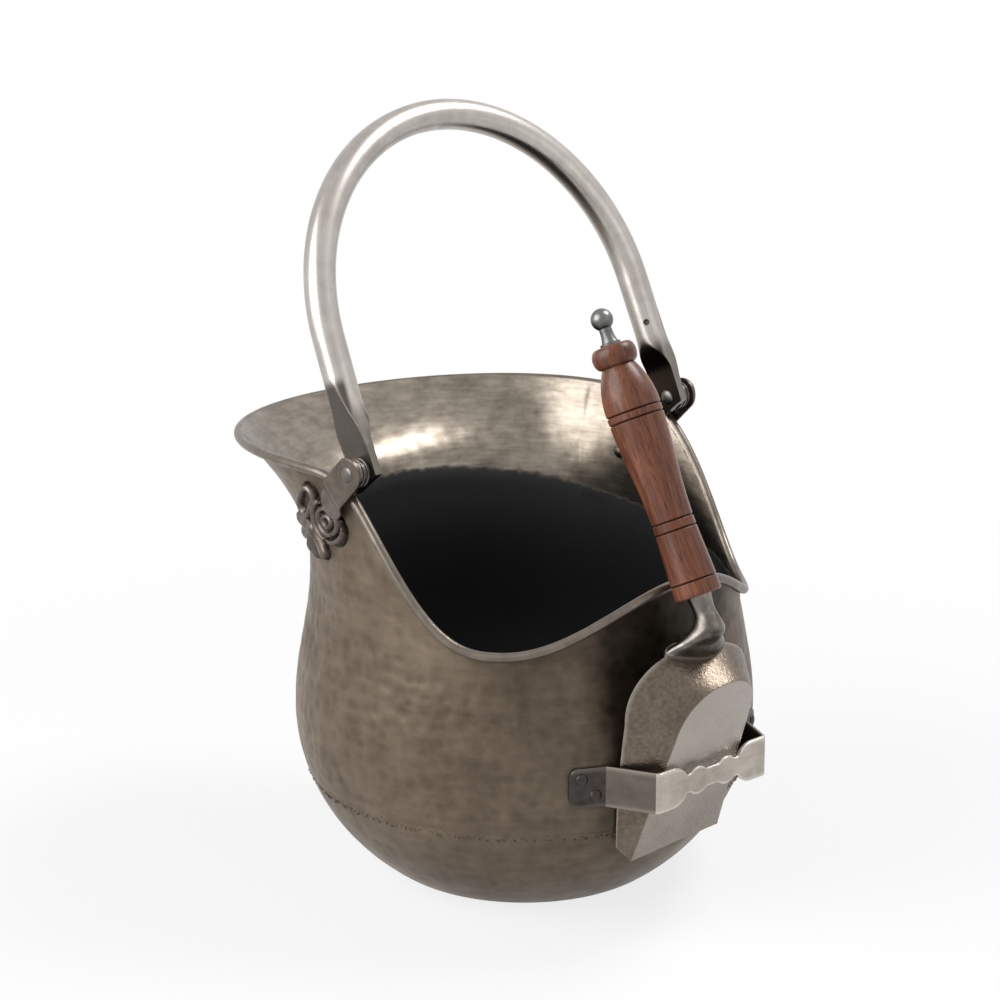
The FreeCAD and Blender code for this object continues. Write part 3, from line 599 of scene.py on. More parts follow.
class Finishes:
    """Every finish of the bucket, made once."""

    def __init__(self) -> None:
        """Make the materials."""
        # Hammered sheet under an antique patina: warm grey-brown, broad soft gloss. Its near-black hollow
        # colour darkens the hammer dents and also paints the shovel's shade on the front of the body
        self.patina = MetalFinish(
            "hammered_patina", "#776a5b", "#4e4338", "#17120e", metallic=0.22, gloss=0.25,
            edge_tint="#bdb0a3", contrast=0.38, rough=0.36, rough_swing=0.07, mottle_mm=13,
            streak_mm=(28, 28, 4), streak=0.4, hollow_share=0.22).make()
        # Rolled edge, rubbed by hands
        self.bead = MetalFinish(
            "rolled_bead", "#7d746a", "#5a524a", "#3a332d", metallic=0.8, rough=0.34, mottle_mm=8,
            blotch_mm=30).make()
        # Planished sheet above the lining: paler and smoother, with level brush marks
        self.inside = CoatFinish("planished_inside", "#131416", "#9f968a", "#554d43", bare_rough=0.31).make()
        # Stove paint in the chamber: matte black
        self.lining = MetalFinish(
            "stove_paint", "#1b1c1f", "#101113", "#0b0b0c", metallic=0.0, rough=0.6, rough_swing=0.1,
            grain_mm=1.4, grain_depth_mm=0.05).make()
        # Antiqued casting: rubbed high parts over near-black hollows
        self.casting = MetalFinish(
            "antiqued_casting", "#756b63", "#4c443d", "#1f1a17", rough=0.42, mottle_mm=5, blotch_mm=25,
            grain_mm=0.6, grain_depth_mm=0.05, hollow_share=0.9).make()
        # Drawn tube with satin streaks along its length
        self.tube = MetalFinish(
            "satin_tube", "#bcb7b1", "#a09a93", "#3b332d", rough=0.3, rough_swing=0.06, mottle_mm=9,
            blotch_mm=45, streak_mm=(1.6, 1.6, 30), streak=0.5, hollow_share=1.0, places=Places.OWN).make()
        # Bent strip, rubbed bright on its edges; on the front it is the lit copy beside the painted shade of
        # the arms
        self.strip = MetalFinish(
            "satin_strip", "#b9b1a8", "#9c948b", "#cfc8bf", rough=0.32, mottle_mm=8, blotch_mm=30,
            streak_mm=(12, 12, 1.2), streak=0.5, hollow_share=0.8).make()
        # The same strip, darker: painted shade on the arms, which turn sideways from the light
        self.strip_shaded = MetalFinish(
            "shaded_strip", "#6e675f", "#554f48", "#938b82", rough=0.4, mottle_mm=8, blotch_mm=30,
            streak_mm=(12, 12, 1.2), streak=0.4, hollow_share=0.7).make()
        # The strip's riveted tabs and their rivets: darker still
        self.strip_tab = MetalFinish(
            "blued_tab", "#4d4946", "#383531", "#706a65", rough=0.42, mottle_mm=5, blotch_mm=20,
            hollow_share=0.5).make()
        # Round rivet heads, worn grey
        self.rivet = MetalFinish(
            "worn_rivet_steel", "#75716c", "#514d49", "#2b2826", rough=0.36, mottle_mm=3, blotch_mm=12,
            hollow_share=0.8).make()
        # Casting of the scoop: grey-brown, paler on its flat floor and more so towards the floor's back, with
        # a painted highlight along the free edge
        self.scoop = MetalFinish(
            "dark_casting", "#7c7165", "#544a41", "#c2bbb3", contrast=0.34, rough=0.36, mottle_mm=2.2,
            blotch_mm=30, grain_mm=1.5, grain_depth_mm=0.5, hollow_share=0.8).make()
        # Cast neck: dark grey, with a soft polish on its bends; its pale third colour is a painted highlight
        # on the lower edge of the lap
        self.neck = MetalFinish(
            "polished_casting", "#857f78", "#3d3833", "#b5aea5", rough=0.33, mottle_mm=6, blotch_mm=20,
            grain_mm=0.8, grain_depth_mm=0.05, hollow_share=0.85).make()
        # Turned hardwood under thin varnish: reddish brown with a low sheen
        self.wood = WoodFinish("varnished_hardwood", "#835039", "#4d2c1e", "#24130d", "#40241a").make()
        # Turned bright metal of the end ball
        self.bright = MetalFinish(
            "turned_bright_metal", "#757574", "#5a5a59", "#343332", rough=0.38, rough_swing=0.06, mottle_mm=4,
            blotch_mm=15, hollow_share=0.7).make()
        # Plain drawn wire and rod
        self.wire = MetalFinish(
            "drawn_wire", "#8e8b86", "#6d6a66", "#2b2826", rough=0.35, mottle_mm=3, blotch_mm=12).make()


# Body of the bucket
@dataclass(frozen=True)
class HammerField:
    """Shallow bowls left by a hammer, on a jittered lattice that closes round the body."""

    pitch: float
    radius: float
    seed: int
    girth: float = 785.0
    lattice_rows: int = 64
    jitter: float = 0.4
    sizes: Pair = (0.65, 1.25)
    depths: Pair = (0.3, 1.0)
    bowl: float = 1.5

    def at(self, turn: Array, height: Array) -> Array:
        """Depth of the bowls.

        Args:
            turn: angles round the body in radians.
            height: millimetres along the wall.

        Returns:
            Values from 0 to 1.
        """
        cols = round(self.girth / self.pitch)
        step = self.girth / cols
        draw = np.random.default_rng(self.seed)
        shift = draw.uniform(-self.jitter, self.jitter, (self.lattice_rows, cols, 2))
        size = draw.uniform(*self.sizes, (self.lattice_rows, cols))
        deep = draw.uniform(*self.depths, (self.lattice_rows, cols))
        u = (turn % (2 * np.pi)) / (2 * np.pi) * self.girth
        i = np.floor(height / self.pitch).astype(int)
        j = np.floor(u / step).astype(int)
        total = np.zeros_like(u)
        for di in (-1, 0, 1):
            for dj in (-1, 0, 1):
                row, col = (i + di) % self.lattice_rows, (j + dj) % cols
                mid_u = (j + dj + 0.5 + shift[row, col, 0]) * step
                mid_h = (i + di + 0.5 + shift[row, col, 1]) * self.pitch
                away = ((u - mid_u) ** 2 + (height - mid_h) ** 2) / (self.radius * size[row, col]) ** 2
                total = np.maximum(total, np.clip(1 - away, 0, 1) ** self.bowl * deep[row, col])
        return total


@dataclass(frozen=True)
class BodyForm:
    """Lines of the sheet body, as the part's source draws them. Angles run from the back, towards +X."""

    sheet: float = 1.0
    bulge_r: float = 125.0
    bulge_z: float = 92.0
    belly_h: float = 112.0
    seam_z: float = 59.0
    shoulder_h: float = 80.0
    neck_r: float = 115.5
    neck_z: float = 160.0
    neck_tilt: float = 12.6
    wire_r: float = 1.5
    rim_back_r: float = 175.0
    rim_side_r: float = 116.6
    rim_front_r: float = 119.5
    rim_back_z: float = 229.0
    rim_shoulder_z: float = 236.7
    rim_shoulder_angle: float = 72.3
    rim_dip_z: float = 155.3
    rim_dip_angle: float = 130.4
    rim_lip_z: float = 186.3
    lobe_power: float = 1.6
    flare_back: float = 62.0
    flare_front: float = 14.0
    curl_turn: float = 285.0
    pull: float = 0.36
    probe: float = 0.01
    neck_rounds: int = 20

    def radius(self, z: Array) -> Array:
        """Outer radius of base and belly at a height."""
        z = np.asarray(z, float)
        low = np.clip((self.bulge_z - z) / self.belly_h, -1, 1)
        high = cosine_step(np.clip((z - self.bulge_z) / self.shoulder_h, 0, 1))
        return np.where(z <= self.bulge_z, self.bulge_r * np.sqrt(1 - low ** 2),
                        self.bulge_r - (self.bulge_r - self.neck_r) * high)

    def slope(self, z: Array) -> Array:
        """Change of the outer radius with height."""
        low = np.maximum(np.asarray(z, float) - self.probe, 0)
        return (self.radius(z + self.probe) - self.radius(low)) / (z + self.probe - low)

    def face(self, z: Array, depth: Array | float) -> Array:
        """Radius of the face that lies depth inside the outer one."""
        return self.radius(z) - depth * np.hypot(1, self.slope(z))

    def neck_height(self, y: Array) -> Array:
        """Height of the tilted neck."""
        return self.neck_z + math.tan(math.radians(self.neck_tilt)) * y

    def neck(self, turn: Array, depth: float) -> Array:
        """Points of the neck.

        Args:
            turn: angles in radians.
            depth: distance inside the outer face.

        Returns:
            One point for each angle.
        """
        r = np.full_like(turn, self.neck_r)
        for _ in range(self.neck_rounds):
            r = self.face(self.neck_height(r * np.cos(turn)), depth)
        return around(r, turn, self.neck_height(r * np.cos(turn)))

    def lobe(self, turn: Array) -> Array:
        """1 at the back, falling to 0 at the ears and in front of them."""
        return np.maximum(np.cos(turn), 0) ** self.lobe_power

    def rim(self, turn: Array) -> Array:
        """Centre line of the rolled bead.

        Args:
            turn: angles in radians.

        Returns:
            One point for each angle.
        """
        front = np.maximum(-np.cos(turn), 0)
        r = (self.rim_side_r + (self.rim_back_r - self.rim_side_r) * self.lobe(turn)
             + (self.rim_front_r - self.rim_side_r) * front)
        angle = np.abs((np.degrees(turn) + 180) % 360 - 180)
        drop = self.rim_shoulder_z - self.rim_back_z
        back = self.rim_back_z + drop * cosine_step(angle / self.rim_shoulder_angle)
        t = np.clip((angle - self.rim_shoulder_angle) / (self.rim_dip_angle - self.rim_shoulder_angle), 0, 1)
        dip = self.rim_dip_z - self.rim_shoulder_z
        fall = self.rim_shoulder_z + dip * t ** 3 * (6 * t ** 2 - 15 * t + 10)
        lip = self.rim_dip_z + (self.rim_lip_z - self.rim_dip_z) * cosine_step(
            (angle - self.rim_dip_angle) / (180 - self.rim_dip_angle))
        z = np.where(angle < self.rim_shoulder_angle, back, np.where(angle < self.rim_dip_angle, fall, lip))
        return around(r, turn, z)

    def rim_axes(self, turn: Array) -> tuple[Array, Array, Array]:
        """Bead centre, the sheet's direction there and the normal into the bucket.

        Args:
            turn: angles in radians.

        Returns:
            Three arrays of vectors.
        """
        step = math.radians(0.5)
        tangent = unit(self.rim(turn + step) - self.rim(turn - step))
        outward = around(1.0, turn, 0.0)
        flare = self.flare_front + (self.flare_back - self.flare_front) * self.lobe(turn)
        lean = np.radians(flare)[..., None]
        rise = np.array([0, 0, 1.0]) * np.cos(lean) + outward * np.sin(lean)
        rise = unit(rise - tangent * np.sum(rise * tangent, -1, keepdims=True))
        inward = np.cross(tangent, rise)
        wrong = np.sum(inward * outward, -1) - inward[..., 2] > 0
        inward[wrong] *= -1
        return self.rim(turn), rise, inward

    def collar(self, turn: Array, share: Array, depth: float) -> Array:
        """Face of the collar.

        Args:
            turn: angles in radians.
            share: 0 at the neck and 1 at the bead, of the same shape.
            depth: distance inside the outer face.

        Returns:
            One point for each pair.
        """
        foot = self.neck(turn, depth)
        here, rise, inward = self.rim_axes(turn)
        head = here + inward * (self.wire_r + depth)
        slope = self.slope(foot[..., 2])
        start = unit(around(slope, turn, 1.0))
        reach = np.linalg.norm(head - foot, axis=-1, keepdims=True) * self.pull
        s = share[..., None]
        return (foot * (1 - s) ** 3 + 3 * (foot + start * reach) * s * (1 - s) ** 2
                + 3 * (head - rise * reach) * s ** 2 * (1 - s) + head * s ** 3)


FORM = BodyForm()


@dataclass(frozen=True)
class PaintedShovelShade:
    """Painted shade and painted reflection of the shovel on the front of the body, beside and behind the
    scoop.
    """

    left: float = -40.0
    right: float = 30.0
    beside: Fade = Fade(21.0, 0.0)
    up: Fade = Fade(35.0, 75.0)
    depth: float = 3.6

    def at(self, points: Array) -> Array:
        """Depth of the painted shade.

        Args:
            points: places on the body, in mm.

        Returns:
            Shade to add, 0 away from the shovel.
        """
        aside = np.maximum(self.left - points[..., 0], points[..., 0] - self.right)
        near = self.beside.at(aside) * (points[..., 1] < 0)
        return self.depth * near * self.up.at(points[..., 2])


PAINTED_SHOVEL_SHADE = PaintedShovelShade()


@dataclass(frozen=True)
class BaseDish:
    """Spun dish that the bucket stands on, with a few deep hammer marks."""

    columns: int = 420
    flat_rows: int = 12
    round_rows: int = 5
    wall_rows: int = 46
    inner_rows: int = 30
    floor_rows: int = 10
    foot_round: float = 3.5
    wall_stop: float = 1.5
    edge_steps: Row = (1.0, 0.6, 0.3, 0.0)
    inner_low: float = 4.0
    # Heights over the seam, and over the floor for dent_foot
    ease: float = 0.35
    ease_up: Fade = Fade(-1.0, 0.0)
    dent_depth: float = 0.3
    dent_top: Fade = Fade(-4.0, -8.0)
    dent_foot: Fade = Fade(2.0, 8.0)
    fine_share: float = 0.35

    def build(self, finishes: Finishes) -> None:
        """Build and dress the dish.

        Args:
            finishes: the bucket's finishes.
        """
        foot_r = float(FORM.radius(0.0))
        t = np.linspace(0, 1, self.round_rows + 2)[1:-1]
        heel_r, heel_z = foot_r - self.foot_round, self.foot_round
        heel_out = float(FORM.radius(heel_z))
        round_r, round_z = bent(heel_r, foot_r, heel_out, t), bent(0.0, 0.0, heel_z, t)
        wall_z = np.concatenate([np.linspace(heel_z, FORM.seam_z - self.wall_stop, self.wall_rows),
                                 FORM.seam_z - np.array(self.edge_steps)])
        wall_r = FORM.radius(wall_z) - self.ease * self.ease_up.at(wall_z - FORM.seam_z)
        flat_r = np.linspace(0, heel_r, self.flat_rows)
        inner_z = np.concatenate([np.linspace(FORM.seam_z, self.inner_low, self.inner_rows), [FORM.sheet]])
        inner_r = FORM.face(inner_z, FORM.sheet)
        floor_r = np.linspace(inner_r[-1], 0, self.floor_rows)[1:]
        r = np.concatenate([flat_r, round_r, wall_r, inner_r, floor_r])
        z = np.concatenate([0 * flat_r, round_z, wall_z, inner_z, np.full(len(floor_r), FORM.sheet)])
        angles = np.broadcast_to(full_turn(self.columns), (len(r), self.columns))
        heights = np.broadcast_to(z[:, None], angles.shape)
        outer = slice(len(flat_r), len(flat_r) + len(round_r) + len(wall_r))
        fine = HammerField(pitch=8.5, radius=5.0, seed=11).at(angles, heights)
        marks = HammerField(pitch=15.0, radius=4.2, seed=5).at(angles, heights)
        dent = np.zeros(angles.shape)
        fade = self.dent_top.at(heights - FORM.seam_z) * self.dent_foot.at(heights)
        dent[outer] = (fade * np.maximum(self.fine_share * fine, marks))[outer]
        grid = around(r[:, None] - self.dent_depth * dent, angles, heights)
        strips = [int(i >= outer.stop) for i in range(len(r) - 1)]
        draft = MeshDraft()
        # The shade darkens the hammer marks, and beside the shovel it adds painted shade
        draft.add_grid(grid, wrap_cols=True, marks=strips, shade=dent + PAINTED_SHOVEL_SHADE.at(grid))
        obj = draft.finish("base_dish", [finishes.patina, finishes.lining])
        place_piece(obj, Body.BUCKET, "body_metal", "base_pan")


@dataclass(frozen=True)
class Belly:
    """Hammered round barrel, patinated outside and painted black inside."""

    columns: int = 560
    rows: int = 84
    inner_rows: int = 24
    edge_shares: Row = (0.0, 0.004, 0.01)
    first_share: float = 0.02
    # Heights over the seam, and below the neck for dent_top
    dent_depth: float = 0.5
    dent_foot: Fade = Fade(2.0, 7.0)
    dent_top: Fade = Fade(1.0, 6.0)
    ease: float = 0.3
    ease_down: Fade = Fade(1.0, 0.0)

    def build(self, finishes: Finishes) -> None:
        """Build and dress the barrel.

        Args:
            finishes: the bucket's finishes.
        """
        turn = full_turn(self.columns)
        outer_top = FORM.neck(turn, 0.0)[:, 2]
        inner_top = FORM.neck(turn, FORM.sheet)[:, 2]
        share = np.concatenate([self.edge_shares, np.linspace(self.first_share, 1, self.rows)])[:, None]
        z = FORM.seam_z + (outer_top - FORM.seam_z) * share
        angles = np.broadcast_to(turn, z.shape)
        dent = HammerField(pitch=8.0, radius=5.0, seed=3).at(angles, z)
        dent = dent * self.dent_foot.at(z - FORM.seam_z) * self.dent_top.at(outer_top - z)
        r = FORM.radius(z) - self.dent_depth * dent - self.ease * self.ease_down.at(z - FORM.seam_z)
        outer = around(r, angles, z)
        share = np.linspace(1, 0, self.inner_rows)[:, None]
        z = FORM.seam_z + (inner_top - FORM.seam_z) * share
        inner = around(FORM.face(z, FORM.sheet), turn, z)
        grid = np.concatenate([outer, inner])
        strips = [0] * (len(outer) - 1) + [1] * (len(inner) + 1)
        # Beside the shovel the outer shade adds painted shade
        shade = np.concatenate([dent + PAINTED_SHOVEL_SHADE.at(outer), np.zeros(z.shape)])
        draft = MeshDraft()
        draft.add_grid(grid, wrap_rows=True, wrap_cols=True, marks=strips, shade=shade)
        obj = draft.finish("hammered_belly", [finishes.patina, finishes.lining])
        place_piece(obj, Body.BUCKET, "body_metal", "barrel")


@dataclass(frozen=True)
class HelmetCollar:
    """Flared collar with its lap seam inside and its edge rolled over a wire."""

    columns: int = 560
    rows: int = 44
    curl_rows: int = 20
    dent_depth: float = 0.22
    inside_depth: float = 0.16
    # The lap's degrees from the back, and the paint's distance from the neck
    lap_lip: Fade = Fade(60.0, 60.7)
    lap_end: Fade = Fade(70.0, 66.0)
    lap_rise: float = 0.45
    coat_edge: Fade = Fade(15.0, 2.0)
    # groove_w and groove_dark set a painted shade line just under the bead, drawn inside in the black coat
    groove_w: float = 1.1
    groove_dark: float = 0.5
    fade_low: float = 12.0
    fade_high: float = 9.0
    marks_from: float = 100.0
    wire_gap: float = 0.05
    dent_shade: float = 0.8

    def build(self, finishes: Finishes) -> None:
        """Build and dress the collar.

        Args:
            finishes: the bucket's finishes.
        """
        turn = full_turn(self.columns)
        angles = np.broadcast_to(turn, (self.rows, self.columns))
        shares = np.broadcast_to(np.linspace(0, 1, self.rows)[:, None], angles.shape)
        inner = FORM.collar(angles, shares, FORM.sheet)
        outer = FORM.collar(angles, shares, 0.0)
        fade = smooth_step(shares * self.fade_low) * smooth_step((1 - shares) * self.fade_high)
        run = np.cumsum(np.linalg.norm(np.diff(inner, axis=0, prepend=inner[:1]), axis=2), axis=0)
        normal_in = self._towards(grid_normals(inner, True), angles, -1)
        normal_out = self._towards(grid_normals(outer, True), angles, 1)
        dent_in = HammerField(pitch=8.0, radius=5.2, seed=21).at(angles, run + self.marks_from) * fade
        dent_out = HammerField(pitch=8.5, radius=5.4, seed=22).at(angles, run + self.marks_from) * fade
        degrees = np.degrees(angles)
        lap = fade * self.lap_lip.at(degrees) * self.lap_end.at(degrees)
        inner = inner + normal_in * (self.lap_rise * lap - self.inside_depth * dent_in * (1 - lap))[..., None]
        outer = outer - normal_out * (self.dent_depth * dent_out)[..., None]
        here, rise, inward = FORM.rim_axes(turn)
        spin = np.radians(np.linspace(0, FORM.curl_turn, self.curl_rows))[:, None, None]
        circle = inward * np.cos(spin) + rise * np.sin(spin)
        roll_out = here + circle * (FORM.wire_r + FORM.sheet)
        roll_in = (here + circle * (FORM.wire_r + self.wire_gap))[::-1]
        grid = np.concatenate([inner, roll_out[1:], roll_in[:-1], outer[::-1]])
        # Painted shade line just under the bead, drawn with the black coat
        groove = np.exp(-((run[-1:] - run - self.groove_w) / self.groove_w) ** 2)
        coat = np.maximum(self.coat_edge.at(run), self.groove_dark * groove)
        roll = 2 * self.curl_rows - 1
        empty = np.zeros((roll - 1, self.columns))
        # Beside the shovel the outer shade adds painted shade
        shade = np.concatenate([coat, empty, (dent_out * self.dent_shade + PAINTED_SHOVEL_SHADE.at(outer))[::-1]])
        strips = [1] * (self.rows - 1) + [2] * roll + [0] * (len(grid) - self.rows + 1 - roll)
        draft = MeshDraft()
        draft.add_grid(grid, wrap_rows=True, wrap_cols=True, marks=strips, shade=shade)
        obj = draft.finish("helmet_collar", [finishes.patina, finishes.inside, finishes.bead])
        place_piece(obj, Body.BUCKET, "body_metal", "collar")

    @staticmethod
    def _towards(normals: Array, angles: Array, sign: int) -> Array:
        """Turn normals of the collar to one side.

        Args:
            normals: normals that may point to either side.
            angles: place of each one round the bucket, in radians.
            sign: 1 for out of the bucket, -1 for into it.

        Returns:
            The normals, all to that side.
        """
        facing = np.sum(normals * around(1.0, angles, -0.5), -1, keepdims=True)
        return np.where(facing * sign > 0, normals, -normals)


def start_nodes(name: str, inputs: Sequence[tuple[str, str, Any]]) -> tuple[
        bpy.types.NodeTree, bpy.types.NodeOutputs, dict[str, Any]]:
    """Start a geometry node tree.

    Args:
        name: name of the tree.
        inputs: label, socket type and value of each input besides the geometry.

    Returns:
        The tree, the sockets that give its inputs, and the inputs' values by identifier.
    """
    tree = bpy.data.node_groups.new(name, "GeometryNodeTree")
    tree.interface.new_socket(name="Geometry", in_out="INPUT", socket_type="NodeSocketGeometry")
    values = {}
    for label, kind, value in inputs:
        socket = tree.interface.new_socket(name=label, in_out="INPUT", socket_type=kind)
        values[socket.identifier] = value
    tree.interface.new_socket(name="Geometry", in_out="OUTPUT", socket_type="NodeSocketGeometry")
    return tree, add_node(tree, "NodeGroupInput").outputs, values


def grow_nodes(obj: bpy.types.Object, tree: bpy.types.NodeTree, instances: bpy.types.Node,
               material: bpy.types.NodeSocket, values: dict[str, Any], sharp: float = 60.0) -> None:
    """End a node tree with real, dressed instances, run it and keep a plain mesh.

    Args:
        obj: object that carries the starting points.
        tree: geometry node tree.
        instances: node that gives the instances.
        material: socket that gives their finish.
        values: the inputs' values by identifier.
        sharp: angle in degrees from which an edge is drawn crisp.
    """
    real = add_node(tree, "GeometryNodeRealizeInstances", {0: instances})
    dressed = add_node(tree, "GeometryNodeSetMaterial", {"Geometry": real, "Material": material})
    add_node(tree, "NodeGroupOutput", {0: dressed})
    modifier = obj.modifiers.new(tree.name, "NODES")
    modifier.node_group = tree
    for identifier, value in values.items():
        modifier[identifier] = value
    plain_mesh(obj, sharp)


@dataclass(frozen=True)
class BrazeSeam:
    """Grains of braze that sit under the seam between dish and belly."""

    count: int = 520
    grain_r: float = 1.0
    grain_cuts: int = 2
    drop: float = 2.2
    sunk: float = 0.15
    scatter: float = 1.7
    scatter_axes: Triple = (0.15, 0.15, 1.0)
    small: Triple = (0.3, 0.3, 0.3)
    large: Triple = (1.2, 1.2, 0.9)
    spin: Triple = (6.28, 6.28, 6.28)
    path_points: int = 180
    seed: int = 4

    def build(self, finishes: Finishes) -> None:
        """Strew the grains along the seam with a node tree.

        Args:
            finishes: the bucket's finishes.
        """
        z = FORM.seam_z - self.drop
        ring = around(float(FORM.radius(z)) - self.sunk, full_turn(self.path_points), z) * MM
        mesh = bpy.data.meshes.new("braze_grains")
        edges = [(i, (i + 1) % self.path_points) for i in range(self.path_points)]
        mesh.from_pydata(ring.tolist(), edges, [])
        obj = link_object("braze_grains", mesh)
        tree, given, values = start_nodes("grains_on_a_path", (
            ("Count", "NodeSocketInt", self.count), ("Radius", "NodeSocketFloat", self.grain_r * MM),
            ("Scatter", "NodeSocketFloat", self.scatter * MM), ("Seed", "NodeSocketInt", self.seed),
            ("Material", "NodeSocketMaterial", finishes.patina)))
        add = partial(add_node, tree)
        path = add("GeometryNodeMeshToCurve", {"Mesh": given["Geometry"]})
        even = add("GeometryNodeResampleCurve", {"Curve": path, "Count": given["Count"]})
        spread = add("FunctionNodeRandomValue", {
            "Min": (-1, -1, -1), "Max": (1, 1, 1), "Seed": given["Seed"]}, data_type="FLOAT_VECTOR")
        flat = add("ShaderNodeVectorMath", {0: spread, 1: self.scatter_axes}, operation="MULTIPLY")
        offset = add("ShaderNodeVectorMath", {0: flat, "Scale": given["Scatter"]}, operation="SCALE")
        strewn = add("GeometryNodeSetPosition", {"Geometry": even, "Offset": offset})
        grain = add("GeometryNodeMeshIcoSphere", {"Radius": given["Radius"], "Subdivisions": self.grain_cuts})
        size = add("FunctionNodeRandomValue", {
            "Min": self.small, "Max": self.large, "Seed": given["Seed"]}, data_type="FLOAT_VECTOR")
        turned = add("FunctionNodeRandomValue", {
            "Max": self.spin, "Seed": given["Seed"]}, data_type="FLOAT_VECTOR")
        laid = add("GeometryNodeInstanceOnPoints", {
            "Points": strewn, "Instance": grain, "Scale": size, "Rotation": turned})
        grow_nodes(obj, tree, laid, given["Material"], values)
        place_piece(obj, Body.BUCKET, "body_metal")


# Ears and pivots
PIVOT_Z = 241.52
TAB_IN = 121.2
TAB_OUT = 123.6
BORE_GAP = 0.06
# Where the search for a place on the collar starts, and how far it goes in a step
EAR_TURN = -80.0
EAR_SHARE = 0.6
LAY_STRIDE = 0.2
LAY_STEP = 1e-4
LAY_ROUNDS = 14
LAY_SHARES = (0.05, 1.15)


def capsule(y: Array, z: Array, a: Pair, b: Pair) -> Array:
    """Distance of points from a straight stretch.

    Args:
        y: first coordinates.
        z: second coordinates.
        a: one end of the stretch.
        b: its other end.

    Returns:
        Distances in millimetres.
    """
    run = (b[0] - a[0], b[1] - a[1])
    length = run[0] ** 2 + run[1] ** 2
    t = np.clip(((y - a[0]) * run[0] + (z - a[1]) * run[1]) / max(length, TINY), 0, 1)
    return np.hypot(y - a[0] - t * run[0], z - a[1] - t * run[1])


def bead(distance: Array, half_w: float, height: float) -> Array:
    """Round-topped rib about a line, from the distance to that line."""
    return height * np.sqrt(np.clip(1 - (distance / half_w) ** 2, 0, 1))


